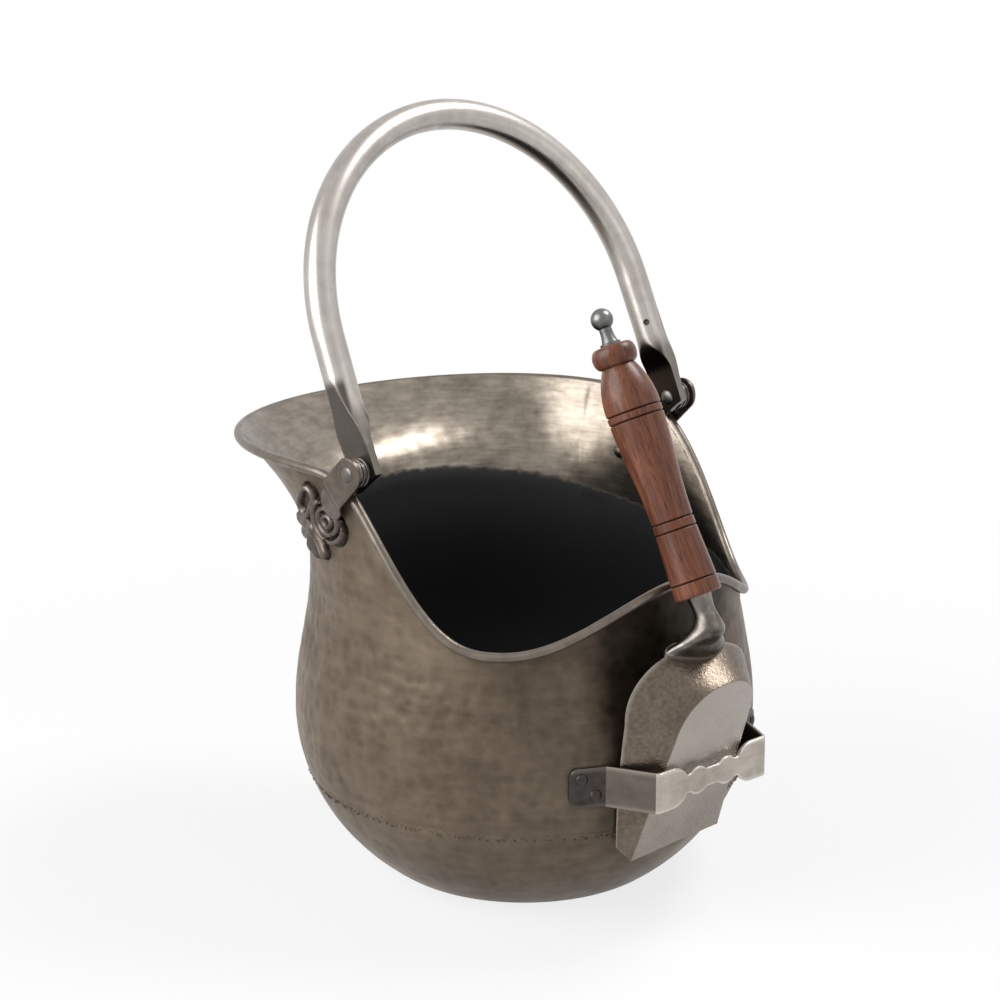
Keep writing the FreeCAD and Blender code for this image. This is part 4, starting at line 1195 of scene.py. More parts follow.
@dataclass(frozen=True)
class Ear:
    """Cast ear: a half rosette, a ribbed leaf and a loop on the collar, and the bail's tab."""

    side: Side
    step: float = 0.5
    field: tuple[float, float, float, float] = (-2.0, 66.0, 180.0, 236.0)
    pad: float = 1.5
    sunk: float = 0.55
    mid: Pair = (42.5, 201.5)
    mid_r: float = 13.0
    boss_r: float = 4.6
    boss_h: float = 3.6
    tips: tuple[Pair, ...] = (
        (62.0, 204.0), (58.5, 194.5), (50.5, 187.0), (40.5, 185.0), (30.5, 187.5))
    petal_r: float = 4.3
    petal_h: float = 2.6
    vein: float = 0.8
    leaf: tuple[Pair, Pair] = ((22.0, 205.5), (36.0, 212.0))
    leaf_pad: float = 9.0
    leaf_mid: Pair = (27.0, 209.5)
    leaf_r: float = 13.2
    leaf_stretch: float = 1.15
    ribs: Row = (3.0, 7.2, 11.4)
    rib_w: float = 1.6
    rib_h: float = 2.4
    loop_pad: float = 6.8
    loop_r: float = 4.6
    loop_w: float = 1.9
    loop_h: float = 2.8
    loop: tuple[Pair, Pair] = ((48.0, 213.0), (41.5, 221.0))
    tab_foot: Pair = (22.0, 220.0)
    tab_r: float = 9.0
    tab_t: float = 2.4
    tab_end: float = 6.0
    tab_stand: float = 2.6
    tab_square: float = 0.5
    tab_segments: int = 36
    tab_rows: tuple[int, int, int] = (12, 22, 10)
    # Share of the tab's length, distances out of the outline, and height of the relief
    tab_bend: Fade = Fade(0.55, 0.95)
    plate_in: Fade = Fade(0.6, -0.8)
    sink_out: Fade = Fade(-0.2, 1.0)
    relief_in: Fade = Fade(0.4, -0.6)
    hollow: Fade = Fade(2.9, 0.7)
    skin: float = 0.1
    trim: float = 0.02

    def relief(self, y: Array, z: Array) -> Array:
        """Height of the casting over the collar.

        Args:
            y: distance towards the back.
            z: height over the floor.

        Returns:
            Millimetres over the collar's face, below 0 outside the ear's outline.
        """
        mid_away = np.hypot(y - self.mid[0], z - self.mid[1])
        loop_away = capsule(y, z, *self.loop)
        pads = [mid_away - self.mid_r, capsule(y, z, *self.leaf) - self.leaf_pad, loop_away - self.loop_pad]
        high = np.zeros_like(y)
        for tip in self.tips:
            run = (tip[0] - self.mid[0], tip[1] - self.mid[1])
            length = math.hypot(*run)
            far = (tip[0] - run[0] / length * self.petal_r, tip[1] - run[1] / length * self.petal_r)
            away = capsule(y, z, self.mid, far)
            pads.append(away - self.petal_r)
            vein = self.vein * np.exp(-(away / self.vein) ** 2)
            high = np.maximum(high, bead(away, self.petal_r, self.petal_h) - vein)
        high = np.maximum(high, bead(mid_away, self.boss_r, self.boss_h))
        leaf_away = np.hypot((y - self.leaf_mid[0]) / self.leaf_stretch, z - self.leaf_mid[1])
        for r in self.ribs:
            rib = bead(np.abs(leaf_away - r), self.rib_w, self.rib_h)
            high = np.maximum(high, np.where(leaf_away < self.leaf_r, rib, 0))
        high = np.maximum(high, bead(np.abs(loop_away - self.loop_r), self.loop_w, self.loop_h))
        edge = np.minimum.reduce(pads)
        plate = self.pad * self.plate_in.at(edge) - self.sunk * self.sink_out.at(edge)
        return plate + high * self.relief_in.at(edge)

    def lay(self, y: Array, z: Array, lift: Array | float) -> Array:
        """Points over the collar's left face.

        Args:
            y: distance towards the back.
            z: height over the floor.
            lift: distance out of the face.

        Returns:
            One point for each pair.
        """
        turn = np.full_like(y, math.radians(EAR_TURN))
        share = np.full_like(y, EAR_SHARE)
        for _ in range(LAY_ROUNDS):
            spot = FORM.collar(turn, share, 0.0)
            by_turn = (FORM.collar(turn + LAY_STEP, share, 0.0) - spot) / LAY_STEP
            by_share = (FORM.collar(turn, share + LAY_STEP, 0.0) - spot) / LAY_STEP
            ey, ez = y - spot[..., 1], z - spot[..., 2]
            det = by_turn[..., 1] * by_share[..., 2] - by_turn[..., 2] * by_share[..., 1]
            turn_by = (ey * by_share[..., 2] - ez * by_share[..., 1]) / det
            share_by = (by_turn[..., 1] * ez - by_turn[..., 2] * ey) / det
            turn = turn + np.clip(turn_by, -LAY_STRIDE, LAY_STRIDE)
            share = np.clip(share + np.clip(share_by, -LAY_STRIDE, LAY_STRIDE), *LAY_SHARES)
        normal = unit(np.cross(by_share, by_turn))
        normal = np.where(normal[..., :1] < 0, normal, -normal)
        return spot + normal * np.asarray(lift)[..., None]

    def tab(self) -> Array:
        """Upright tab, bent in at its foot to meet the casting.

        Returns:
            Rings of points along the tab.
        """
        foot = np.array(self.tab_foot)
        run = foot - np.array([0.0, PIVOT_Z])
        length = float(np.hypot(*run))
        run /= length
        across = np.array([-run[1], run[0]])
        top, middle, end = (np.linspace(0, far, rows) for far, rows in zip(
            (np.pi / 2, length, np.pi / 2), self.tab_rows))
        a = np.concatenate([-self.tab_r * np.cos(top), middle[1:], length + self.tab_end * np.sin(end)[1:]])
        head = np.sqrt(np.clip(self.tab_r ** 2 - a ** 2, 0, None))
        tail = self.tab_r * np.sqrt(np.clip(1 - ((a - length) / self.tab_end) ** 2, 0, 1))
        half = np.where(a < 0, head, np.where(a > length, tail, self.tab_r))
        half = np.maximum(half, self.trim)
        mid_x = -(TAB_IN + self.tab_t / 2)
        low_x = self.lay(foot[:1], foot[1:], 0.0)[0, 0] - self.tab_stand
        x = mid_x + (low_x - mid_x) * self.tab_bend.at(a / length)
        phi = full_turn(self.tab_segments)
        wide = signed_power(np.cos(phi), self.tab_square)
        deep = signed_power(np.sin(phi), self.tab_square) * self.tab_t / 2
        rows = []
        for i, at in enumerate(a):
            y = run[0] * at + across[0] * half[i] * wide
            z = PIVOT_Z + run[1] * at + across[1] * half[i] * wide
            rows.append(np.stack([x[i] + deep, y, z], -1))
        return np.array(rows)

    def build(self, finishes: Finishes) -> None:
        """Build and dress the ear.

        Args:
            finishes: the bucket's finishes.
        """
        y_low, y_high, z_low, z_high = self.field
        ys = np.arange(y_low, y_high, self.step)
        zs = np.arange(z_low, z_high, self.step)
        y, z = np.meshgrid(ys, zs)
        lift = self.relief(y, z)
        top = self.lay(y, z, lift)
        under = self.lay(y, z, np.full_like(lift, -self.sunk - self.skin))
        inside = lift > -self.sunk + self.trim
        keep = inside[:-1, :-1] | inside[1:, :-1] | inside[:-1, 1:] | inside[1:, 1:]
        draft = MeshDraft()
        upper = draft.add_grid(top, shade=self.hollow.at(lift), keep=keep)
        lower = draft.add_grid(under, shade=np.ones_like(lift), keep=keep)
        self._walls(draft, keep, upper, lower)
        draft.add_tube(self.tab())
        if self.side is Side.RIGHT:
            draft.points = [points * np.array([-1, 1, 1]) for points in draft.points]
        obj = draft.finish("cast_ear_" + self.side.word, [finishes.casting], sharp=50)
        place_piece(obj, Body.BUCKET, "cast_metal", "ear_" + self.side.word)

    @staticmethod
    def _walls(draft: MeshDraft, keep: Array, upper: Array, lower: Array) -> None:
        """Close the casting's outline between its upper and lower sheets.

        Args:
            draft: the ear's draft.
            keep: which quads of the sheets are made.
            upper: numbers of the upper sheet's points.
            lower: numbers of the lower sheet's points.
        """
        rows, cols = keep.shape
        padded = np.zeros((rows + 2, cols + 2), bool)
        padded[1:-1, 1:-1] = keep
        for i in range(rows):
            for j in range(cols):
                if not keep[i, j]:
                    continue
                for di, dj, a, b in ((-1, 0, (0, 0), (0, 1)), (1, 0, (1, 0), (1, 1)),
                                     (0, -1, (0, 0), (1, 0)), (0, 1, (0, 1), (1, 1))):
                    if not padded[i + 1 + di, j + 1 + dj]:
                        p, q = (i + a[0], j + a[1]), (i + b[0], j + b[1])
                        draft.add_face((upper[p], upper[q], lower[q], lower[p]))


def lathe_rings(radius: Array, along: Array, segments: int) -> Array:
    """Rings of a turned form about +Z.

    Args:
        radius: radius at each station.
        along: place of each station.
        segments: points in a ring.

    Returns:
        Points as stations by segments by 3.
    """
    r, phi, z = np.broadcast_arrays(radius[:, None], full_turn(segments), along[:, None])
    return np.stack([r * np.cos(phi), r * np.sin(phi), z], -1)


@dataclass(frozen=True)
class Pivot:
    """Ring stack and rivet on which one end of the bail swings."""

    side: Side
    ring_at: Row = (0, 0.35, 1.5, 1.85, 2.1, 2.35, 2.7, 4.0, 4.35, 4.6, 4.85, 5.2, 6.6, 7.3)
    ring_r: Row = (7.2, 7.6, 7.6, 7.3, 6.6, 7.2, 7.5, 7.5, 7.2, 6.5, 7.1, 7.4, 7.4, 6.9)
    ring_dark: float = 6.9
    ring_segments: int = 48
    play: float = 0.12
    pin_r: float = 2.5
    head_r: float = 4.2
    head_h: float = 1.5
    outer_share: float = 0.6
    dome_rows: int = 8
    rivet_segments: int = 32
    flat_t: float = 4.2

    def _turned(self, rings: Array) -> Array:
        """Lay rings drawn along +Z on the pivot's axis, outwards on this ear's side."""
        sign = self.side.value
        return np.stack([sign * rings[..., 2], rings[..., 0], PIVOT_Z + rings[..., 1]], -1)

    def build(self, finishes: Finishes) -> None:
        """Build and dress the ring stack and the rivet.

        Args:
            finishes: the bucket's finishes.
        """
        low = TAB_IN - self.play - self.ring_at[-1]
        bore = self.pin_r + BORE_GAP
        at = np.array([self.ring_at[0], *self.ring_at, self.ring_at[-1]])
        r = np.array([bore, *self.ring_r, bore])
        shade = np.repeat((r < self.ring_dark).astype(float)[:, None], self.ring_segments, 1)
        turned = self._turned(lathe_rings(r, low + at, self.ring_segments))
        draft = MeshDraft()
        draft.add_grid(turned, wrap_rows=True, wrap_cols=True, shade=shade)
        rings = draft.finish("pivot_rings_" + self.side.word, [finishes.rivet])
        place_piece(rings, Body.BUCKET, "rivet_steel", "pivot_bush_" + self.side.word)
        inside = low - self.flat_t - 2 * self.play
        t = np.linspace(0, np.pi / 2, self.dome_rows)
        dome_r, dome_h = self.head_r * np.sin(t), self.head_h * np.cos(t)
        r = np.concatenate([dome_r, [self.pin_r, self.pin_r], dome_r[::-1]])
        z = np.concatenate([inside - dome_h, [inside, TAB_OUT], TAB_OUT + self.outer_share * dome_h[::-1]])
        draft = MeshDraft()
        draft.add_grid(self._turned(lathe_rings(r, z, self.rivet_segments)), wrap_cols=True)
        rivet = draft.finish("pivot_rivet_" + self.side.word + "_head", [finishes.rivet])
        place_piece(rivet, Body.BUCKET, "rivet_steel", "pivot_rivet_" + self.side.word)


@dataclass(frozen=True)
class Bail:
    """Bent tube, dressed flat at both ends where it was hammered over an anvil."""

    lean: float = 24.3
    tube_r: float = 8.35
    end_x: float = 111.56
    leg_lean: float = 1.6
    rise: float = 177.0
    flat_w: float = 20.4
    flat_t: float = 4.2
    flat_end: float = 10.0
    flat_top: float = 12.0
    # Distances up from the pivot, and for the two sides the cosine round the tube
    root: Fade = Fade(0.0, 6.0)
    facet_from: float = 10.0
    facet_top: float = 48.0
    pressed: Fade = Fade(15.0, 35.0)
    end_cut: float = 5.8
    end_cut_down: Fade = Fade(4.0, -10.0)
    widened: Fade = Fade(40.0, 14.0)
    squared: Fade = Fade(34.0, 16.0)
    square: float = 0.55
    soft: float = 0.35
    facet_wear: Fade = Fade(50.0, 44.0)
    facet_side: Fade = Fade(0.3, 0.55)
    pressed_wear: Fade = Fade(37.0, 25.0)
    inner_side: Fade = Fade(-0.2, -0.45)
    facet_dark: float = 0.85
    pressed_dark: float = 0.6
    vent_r: float = 1.75
    vent_up: float = 43.0
    bore_r: float = 2.56
    bore_back: float = 8.0
    bore_l: float = 16.0
    drill_segments: int = 24
    breaks: Row = (20.0, 32.0, 56.0)
    counts: tuple[int, ...] = (22, 22, 24, 90)
    segments: int = 56

    def _bow(self) -> Triple:
        """Form of the bow.

        Returns:
            Lean of the legs in radians, radius of the bow and length of a leg's straight run.
        """
        lean = math.radians(self.leg_lean)
        tall = self.rise - self.flat_top
        bow = (self.end_x * math.cos(lean) - tall * math.sin(lean)) / (1 - math.sin(lean))
        aside = bow * math.cos(lean) - self.end_x
        up = tall - bow + bow * math.sin(lean)
        return lean, bow, up * math.cos(lean) - aside * math.sin(lean)

    def path(self, at: Array) -> tuple[Array, Array]:
        """Centre line of the right half of the upright bail.

        Args:
            at: distances up from the pivot along the line.

        Returns:
            Points, and the directions that point out of the bow.
        """
        lean, bow, leg = self._bow()
        centre = np.array([0.0, PIVOT_Z + self.rise - bow])
        root = np.array([self.end_x, PIVOT_Z + self.flat_top])
        up, side = np.array([-math.sin(lean), math.cos(lean)]), np.array([math.cos(lean), math.sin(lean)])
        d = at - self.flat_top
        straight = root + np.maximum(d, 0)[:, None] * up
        straight[:, 1] += np.minimum(d, 0)
        angle = lean + np.clip(d - leg, 0, None) / bow
        spoke = np.stack([np.cos(angle), np.sin(angle)], -1)
        curved = (d > leg)[:, None]
        xz = np.where(curved, centre + bow * spoke, straight)
        ease = self.root.at(d)[:, None]
        out = np.where(curved, spoke, side * ease + np.array([1.0, 0.0]) * (1 - ease))
        zero = np.zeros(len(at))
        return np.stack([xz[:, 0], zero, xz[:, 1]], -1), np.stack([out[:, 0], zero, out[:, 1]], -1)

    def half_length(self) -> float:
        """Distance from the pivot to the top of the bow along the centre line."""
        lean, bow, leg = self._bow()
        return bow * (math.pi / 2 - lean) + leg + self.flat_top

    def build(self, finishes: Finishes) -> None:
        """Build and dress the bail.

        Args:
            finishes: the bucket's finishes.
        """
        half = self.half_length()
        ends = (-self.flat_end, *self.breaks, half)
        runs = [np.linspace(a, b, count) for a, b, count in zip(ends, ends[1:], self.counts)]
        at = np.unique(np.concatenate(runs))
        point, out = self.path(at)
        flat_half = self.flat_t / 2
        t_out = flat_half + (self.tube_r - flat_half) * np.clip(
            (at - self.facet_from) / (self.facet_top - self.facet_from), 0, 1)
        t_in = flat_half + (self.tube_r - flat_half) * self.pressed.at(at)
        wide = self.tube_r + (self.flat_w / 2 - self.tube_r) * self.widened.at(at)
        power = (1.0 - self.square * self.squared.at(at))[:, None]
        phi = full_turn(self.segments)
        c = signed_power(np.cos(phi), power) * self.tube_r
        s = signed_power(np.sin(phi), power) * wide[:, None]
        c = -self.soft * np.logaddexp(-c / self.soft, -t_out[:, None] / self.soft)
        c = self.soft * np.logaddexp(c / self.soft, -t_in[:, None] / self.soft)
        ring = point[:, None, :] + out[:, None, :] * c[..., None]
        ring[..., 1] += s
        front = (1 - s / wide[:, None]) / 2
        ring[..., 2] += self.end_cut * front * self.end_cut_down.at(at)[:, None]
        turn = np.broadcast_to(phi, c.shape)
        along = np.broadcast_to(at[:, None], c.shape)
        facet = self.facet_wear.at(at)[:, None] * self.facet_side.at(np.cos(phi))
        inner = self.pressed_dark + (1 - self.pressed_dark) * self.inner_side.at(np.cos(phi))
        dark = np.maximum(self.facet_dark * facet, self.pressed_wear.at(at)[:, None] * inner)
        own = np.stack([self.tube_r * np.cos(turn), self.tube_r * np.sin(turn), along], -1)
        mirror = ring[::-1][1:] * np.array([-1, 1, 1])
        grid = np.concatenate([ring, mirror])
        far = own[::-1][1:].copy()
        far[..., 2] = 2 * half - far[..., 2]
        draft = MeshDraft()
        draft.add_tube(self._leaned(grid), shade=np.concatenate([dark, dark[::-1][1:]]),
                       own=np.concatenate([own, far]))
        obj = draft.finish("bail_tube", [finishes.tube], sharp=50)
        self._drill(obj)
        place_piece(obj, Body.BAIL, "bail_steel", "bail")

    def _leaned(self, points: Array) -> Array:
        """Turn upright points back about the pivots' axis.

        Args:
            points: points of the upright bail.

        Returns:
            The points where the bail rests.
        """
        angle = math.radians(-self.lean)
        y, z = points[..., 1], points[..., 2] - PIVOT_Z
        return np.stack([points[..., 0], y * math.cos(angle) - z * math.sin(angle),
                         PIVOT_Z + y * math.sin(angle) + z * math.cos(angle)], -1)

    def _drill(self, obj: bpy.types.Object) -> None:
        """Cut the vent hole and the pivot holes.

        Args:
            obj: the tube, which is changed.
        """
        point, _ = self.path(np.array([self.vent_up]))
        cuts = [(self.vent_r, 2 * self.tube_r, unit(np.array([-1.0, -1.0, 0.0])), point[0])]
        for side in Side:
            start = np.array([side.value * (self.end_x - self.bore_back), 0.0, PIVOT_Z])
            cuts.append((self.bore_r, self.bore_l, np.array([side.value, 0.0, 0.0]), start))
        draft = MeshDraft()
        for r, length, axis, start in cuts:
            rings = lathe_rings(np.full(2, r), np.array([0.0, length]), self.drill_segments)
            u = np.cross(axis, [0, 0, 1.0])
            v = np.cross(axis, u)
            laid = start + rings[..., :1] * u + rings[..., 1:2] * v + rings[..., 2:] * axis
            draft.add_tube(self._leaned(laid), shade=np.ones(rings.shape[:2]))
        cutter = draft.finish("bail_drill", [])
        modifier = obj.modifiers.new("drill", "BOOLEAN")
        modifier.operation = "DIFFERENCE"
        modifier.solver = "EXACT"
        modifier.object = cutter
        plain_mesh(obj, sharp=50.0)
        bpy.data.objects.remove(cutter)


# Strap
@dataclass(frozen=True)
class Strap:
    """Bent strip with scalloped edges that holds the shovel."""

    thick: float = 2.2
    high: float = 22.0
    mid_z: float = 86.4
    front_w: float = 81.0
    front_y: float = -141.93
    foot_angle: float = 24.0
    end_angle: float = 33.0
    seat: float = 0.05
    end_round: float = 5.0
    band_h: float = 10.4
    lobe_x: float = 10.5
    lobe_r: float = 7.6
    corner_lobe_x: float = 29.0
    bend_r: float = 1.3
    foot_bend_r: float = 1.8
    bend_rows: int = 9
    foot_reach: int = 6
    tab_points: int = 24
    spacing: float = 0.55
    chamfer: float = 0.5
    soft: float = 0.4
    tab_near: float = 4.0
    fit: Fade = Fade(-0.4, 1.1)
    levels: int = 9

    def plan(self) -> Array:
        """Middle line of the right half of the strip, from the front's middle to the tab's end.

        Returns:
            Points in the XY plane, closely spaced.
        """
        half_t = self.thick / 2
        tab_r = FORM.bulge_r + self.seat + half_t
        corner = np.array([self.front_w / 2 - half_t, self.front_y + half_t])
        foot_a = math.radians(self.foot_angle)
        foot = tab_r * np.array([math.sin(foot_a), -math.cos(foot_a)])
        tab = [tab_r * np.array([math.sin(a), -math.cos(a)])
               for a in np.radians(np.linspace(self.foot_angle, self.end_angle, self.tab_points))]
        middle = np.array([0.0, corner[1]])
        line = [middle] + self._bend(middle, corner, foot, self.bend_r)
        line += self._bend(corner, foot, tab[self.foot_reach], self.foot_bend_r) + tab[self.foot_reach + 1:]
        dense = []
        for a, b in zip(line[:-1], line[1:]):
            count = max(int(np.linalg.norm(b - a) / self.spacing), 1)
            dense += [a + (b - a) * i / count for i in range(count)]
        return np.array(dense + [line[-1]])

    def _bend(self, before: Array, corner: Array, after: Array, radius: float) -> list[Array]:
        """Round a corner of the plan with a quadratic bend.

        Args:
            before: point before the corner.
            corner: the corner.
            after: point after it.
            radius: how far from the corner the bend starts and ends.

        Returns:
            Points of the bend.
        """
        t = np.linspace(0, 1, self.bend_rows)[:, None]
        a, b = (corner + unit(point - corner) * radius for point in (before, after))
        return list(bent(a, corner, b, t))

    def half_height(self, x: Array, left: Array) -> Array:
        """Half of the strip's height.

        Args:
            x: distance from the strip's middle along its front.
            left: distance from the tab's end along the strip.

        Returns:
            Half heights; scalloped along the front and rounded at the tab's end.
        """
        band = np.full_like(x, self.band_h / 2)
        lobe = np.sqrt(np.clip(self.lobe_r ** 2 - (x - self.lobe_x) ** 2, 0, None))
        shoulder = np.where(x > self.corner_lobe_x, self.high / 2,
                            np.sqrt(np.clip((self.high / 2) ** 2 - (x - self.corner_lobe_x) ** 2, 0, None)))
        most = np.logaddexp(np.logaddexp(band / self.soft, lobe / self.soft), shoulder / self.soft)
        half = self.soft * most
        short = np.clip(self.end_round - left, 0, self.end_round)
        return half - self.end_round + np.sqrt(self.end_round ** 2 - short ** 2)

    def build(self, finishes: Finishes) -> None:
        """Build and dress the strap.

        Args:
            finishes: the bucket's finishes.
        """
        right = self.plan()
        line = np.concatenate([right[::-1] * np.array([-1, 1]), right[1:]])
        step = np.linalg.norm(np.diff(line, axis=0), axis=1)
        run = np.concatenate([[0], np.cumsum(step)])
        middle = run[-1] / 2
        tangent = unit(np.gradient(line, run, axis=0))
        out = np.stack([tangent[:, 1], -tangent[:, 0]], -1)
        half = self.half_height(np.abs(run - middle), middle - np.abs(run - middle))
        levels = np.linspace(-1, 1, self.levels)
        face = np.ones(self.levels)
        ends = np.where(np.abs(levels) == 1, self.chamfer, 0.0)
        ring_h = np.concatenate([levels, [1.0, 1.0], levels[::-1], [-1.0, -1.0]])
        face_in = np.concatenate([face, [0.5, -0.5], -face, [-0.5, 0.5]])
        trim = np.concatenate([ends, [0, 0], ends, [0, 0]])
        z = self.mid_z + ring_h * (half[:, None] - trim)
        depth = face_in * self.thick / 2
        flat = line[:, None, :] + out[:, None, :] * depth[None, :, None]
        past = np.degrees(np.arctan2(np.abs(line[:, 0]), -line[:, 1])) - self.foot_angle
        near = np.hypot(*line.T) < FORM.bulge_r + self.tab_near
        grid = self._fit(np.concatenate([flat, z[..., None]], -1), past, near)
        bright = np.broadcast_to(((trim > 0) | (np.abs(face_in) < 1)).astype(float), z.shape)
        tab = (past > 0) & near
        # Past the front the strip takes its darker copy, painted shade where it turns sideways; the tabs take
        # the tab finish
        shaded_sides = np.abs(run - middle) > self.front_w / 2 - 0.5
        marks = [int(mark) for mark in (shaded_sides.astype(int) + tab)[1:]]
        draft = MeshDraft()
        draft.add_tube(grid, 2, shade=bright, marks=marks)
        looks = [finishes.strip, finishes.strip_shaded, finishes.strip_tab]
        obj = draft.finish("shovel_strap_band", looks, sharp=32)
        place_piece(obj, Body.BUCKET, "strap_steel", "shovel_strap")

    def _fit(self, grid: Array, past: Array, near: Array) -> Array:
        """Let the tabs down on to the belly, which is round in height as well.

        Args:
            grid: rings of the strip.
            past: degrees of each ring beyond the tab's foot.
            near: whether a ring lies close to the belly.

        Returns:
            The rings, lowered on the tabs.
        """
        share = self.fit.at(past) * near
        fall = FORM.bulge_r - FORM.radius(grid[..., 2])
        fitted = grid.copy()
        fitted[..., :2] -= unit(grid[..., :2]) * (fall * share[:, None])[..., None]
        return fitted


STRAP = Strap()


@dataclass(frozen=True)
class StrapRivets:
    """Domed heads on the strap's tabs."""

    angles: Pair = (30.0, 26.6)
    heights: Pair = (5.2, -4.1)
    head_r: float = 3.3
    head_h: float = 1.5
    inner_sunk: float = 0.1
    head_segments: int = 28
    head_rows: int = 14

    def build(self, finishes: Finishes) -> None:
        """Set a head on each place with a node tree.

        Args:
            finishes: the bucket's finishes.
        """
        spots, away = [], []
        for side in Side:
            for angle, up in zip(self.angles, self.heights):
                a = math.radians(angle) * side.value
                z = STRAP.mid_z + up
                axis = np.array([math.sin(a), -math.cos(a), 0.0])
                outer = float(FORM.radius(z)) + STRAP.seat + STRAP.thick
                inner = float(FORM.face(z, FORM.sheet)) - self.inner_sunk
                spots += [axis * r + np.array([0, 0, z]) for r in (outer, inner)]
                away += [axis, -axis]
        mesh = bpy.data.meshes.new("strap_rivet_heads")
        mesh.from_pydata((np.array(spots) * MM).tolist(), [], [])
        mesh.attributes.new("away", "FLOAT_VECTOR", "POINT").data.foreach_set("vector", np.concatenate(away))
        obj = link_object("strap_rivet_heads", mesh)
        tree, given, values = start_nodes("heads_on_places", (
            ("Radius", "NodeSocketFloat", self.head_r * MM),
            ("Flatness", "NodeSocketFloat", self.head_h / self.head_r),
            ("Material", "NodeSocketMaterial", finishes.strip_tab)))
        add = partial(add_node, tree)
        axis = add("GeometryNodeInputNamedAttribute", {"Name": "away"}, data_type="FLOAT_VECTOR")
        turned = add("FunctionNodeAlignRotationToVector", {"Vector": axis}, axis="Z")
        ball = add("GeometryNodeMeshUVSphere", {
            "Segments": self.head_segments, "Rings": self.head_rows, "Radius": given["Radius"]})
        size = add("ShaderNodeCombineXYZ", {"X": 1.0, "Y": 1.0, "Z": given["Flatness"]})
        laid = add("GeometryNodeInstanceOnPoints", {
            "Points": given["Geometry"], "Instance": ball, "Rotation": turned, "Scale": size})
        grow_nodes(obj, tree, laid, given["Material"], values)
        place_piece(obj, Body.BUCKET, "rivet_steel", "strap_rivets_left", "strap_rivets_right")


# Shovel
@dataclass(frozen=True)
class ShovelFrame:
    """Axes of the scoop and of its handle in the bucket's frame."""

    tip_x: float = -1.2
    tip_z: float = 41.7
    tip_gap: float = 4.9
    lean: float = 22.2
    roll: float = 3.4
    handle_start: float = 111.2
    handle_angle: float = 48.3

    def scoop(self, points: Array) -> Array:
        """Carry points from the scoop's axes to the bucket's.

        Args:
            points: places along the scoop, across it and into its hollow.

        Returns:
            The points in the bucket's frame.
        """
        lean, roll = math.radians(self.lean), math.radians(self.roll)
        up = np.array([0, -math.sin(lean), math.cos(lean)])
        x_axis = np.array([1.0, 0, 0])
        s_axis = up * math.cos(roll) - x_axis * math.sin(roll)
        w_axis = x_axis * math.cos(roll) + up * math.sin(roll)
        h_axis = np.cross(s_axis, w_axis)
        tip = np.array([self.tip_x, -(float(FORM.radius(self.tip_z)) + self.tip_gap), self.tip_z])
        return tip + points @ np.array([s_axis, w_axis, h_axis])

    def handle(self, points: Array) -> Array:
        """Carry points from the handle's axes to the bucket's.

        Args:
            points: places outwards from the handle, across it and along it.

        Returns:
            The points in the bucket's frame.
        """
        rise = math.radians(self.handle_angle)
        out = np.array([math.sin(rise), 0, -math.cos(rise)])
        axis = np.array([math.cos(rise), 0, math.sin(rise)])
        start = np.array([self.handle_start, 0, 0])
        return self.scoop(start + points @ np.array([out, [0, 1.0, 0], axis]))


SHOVEL = ShovelFrame()


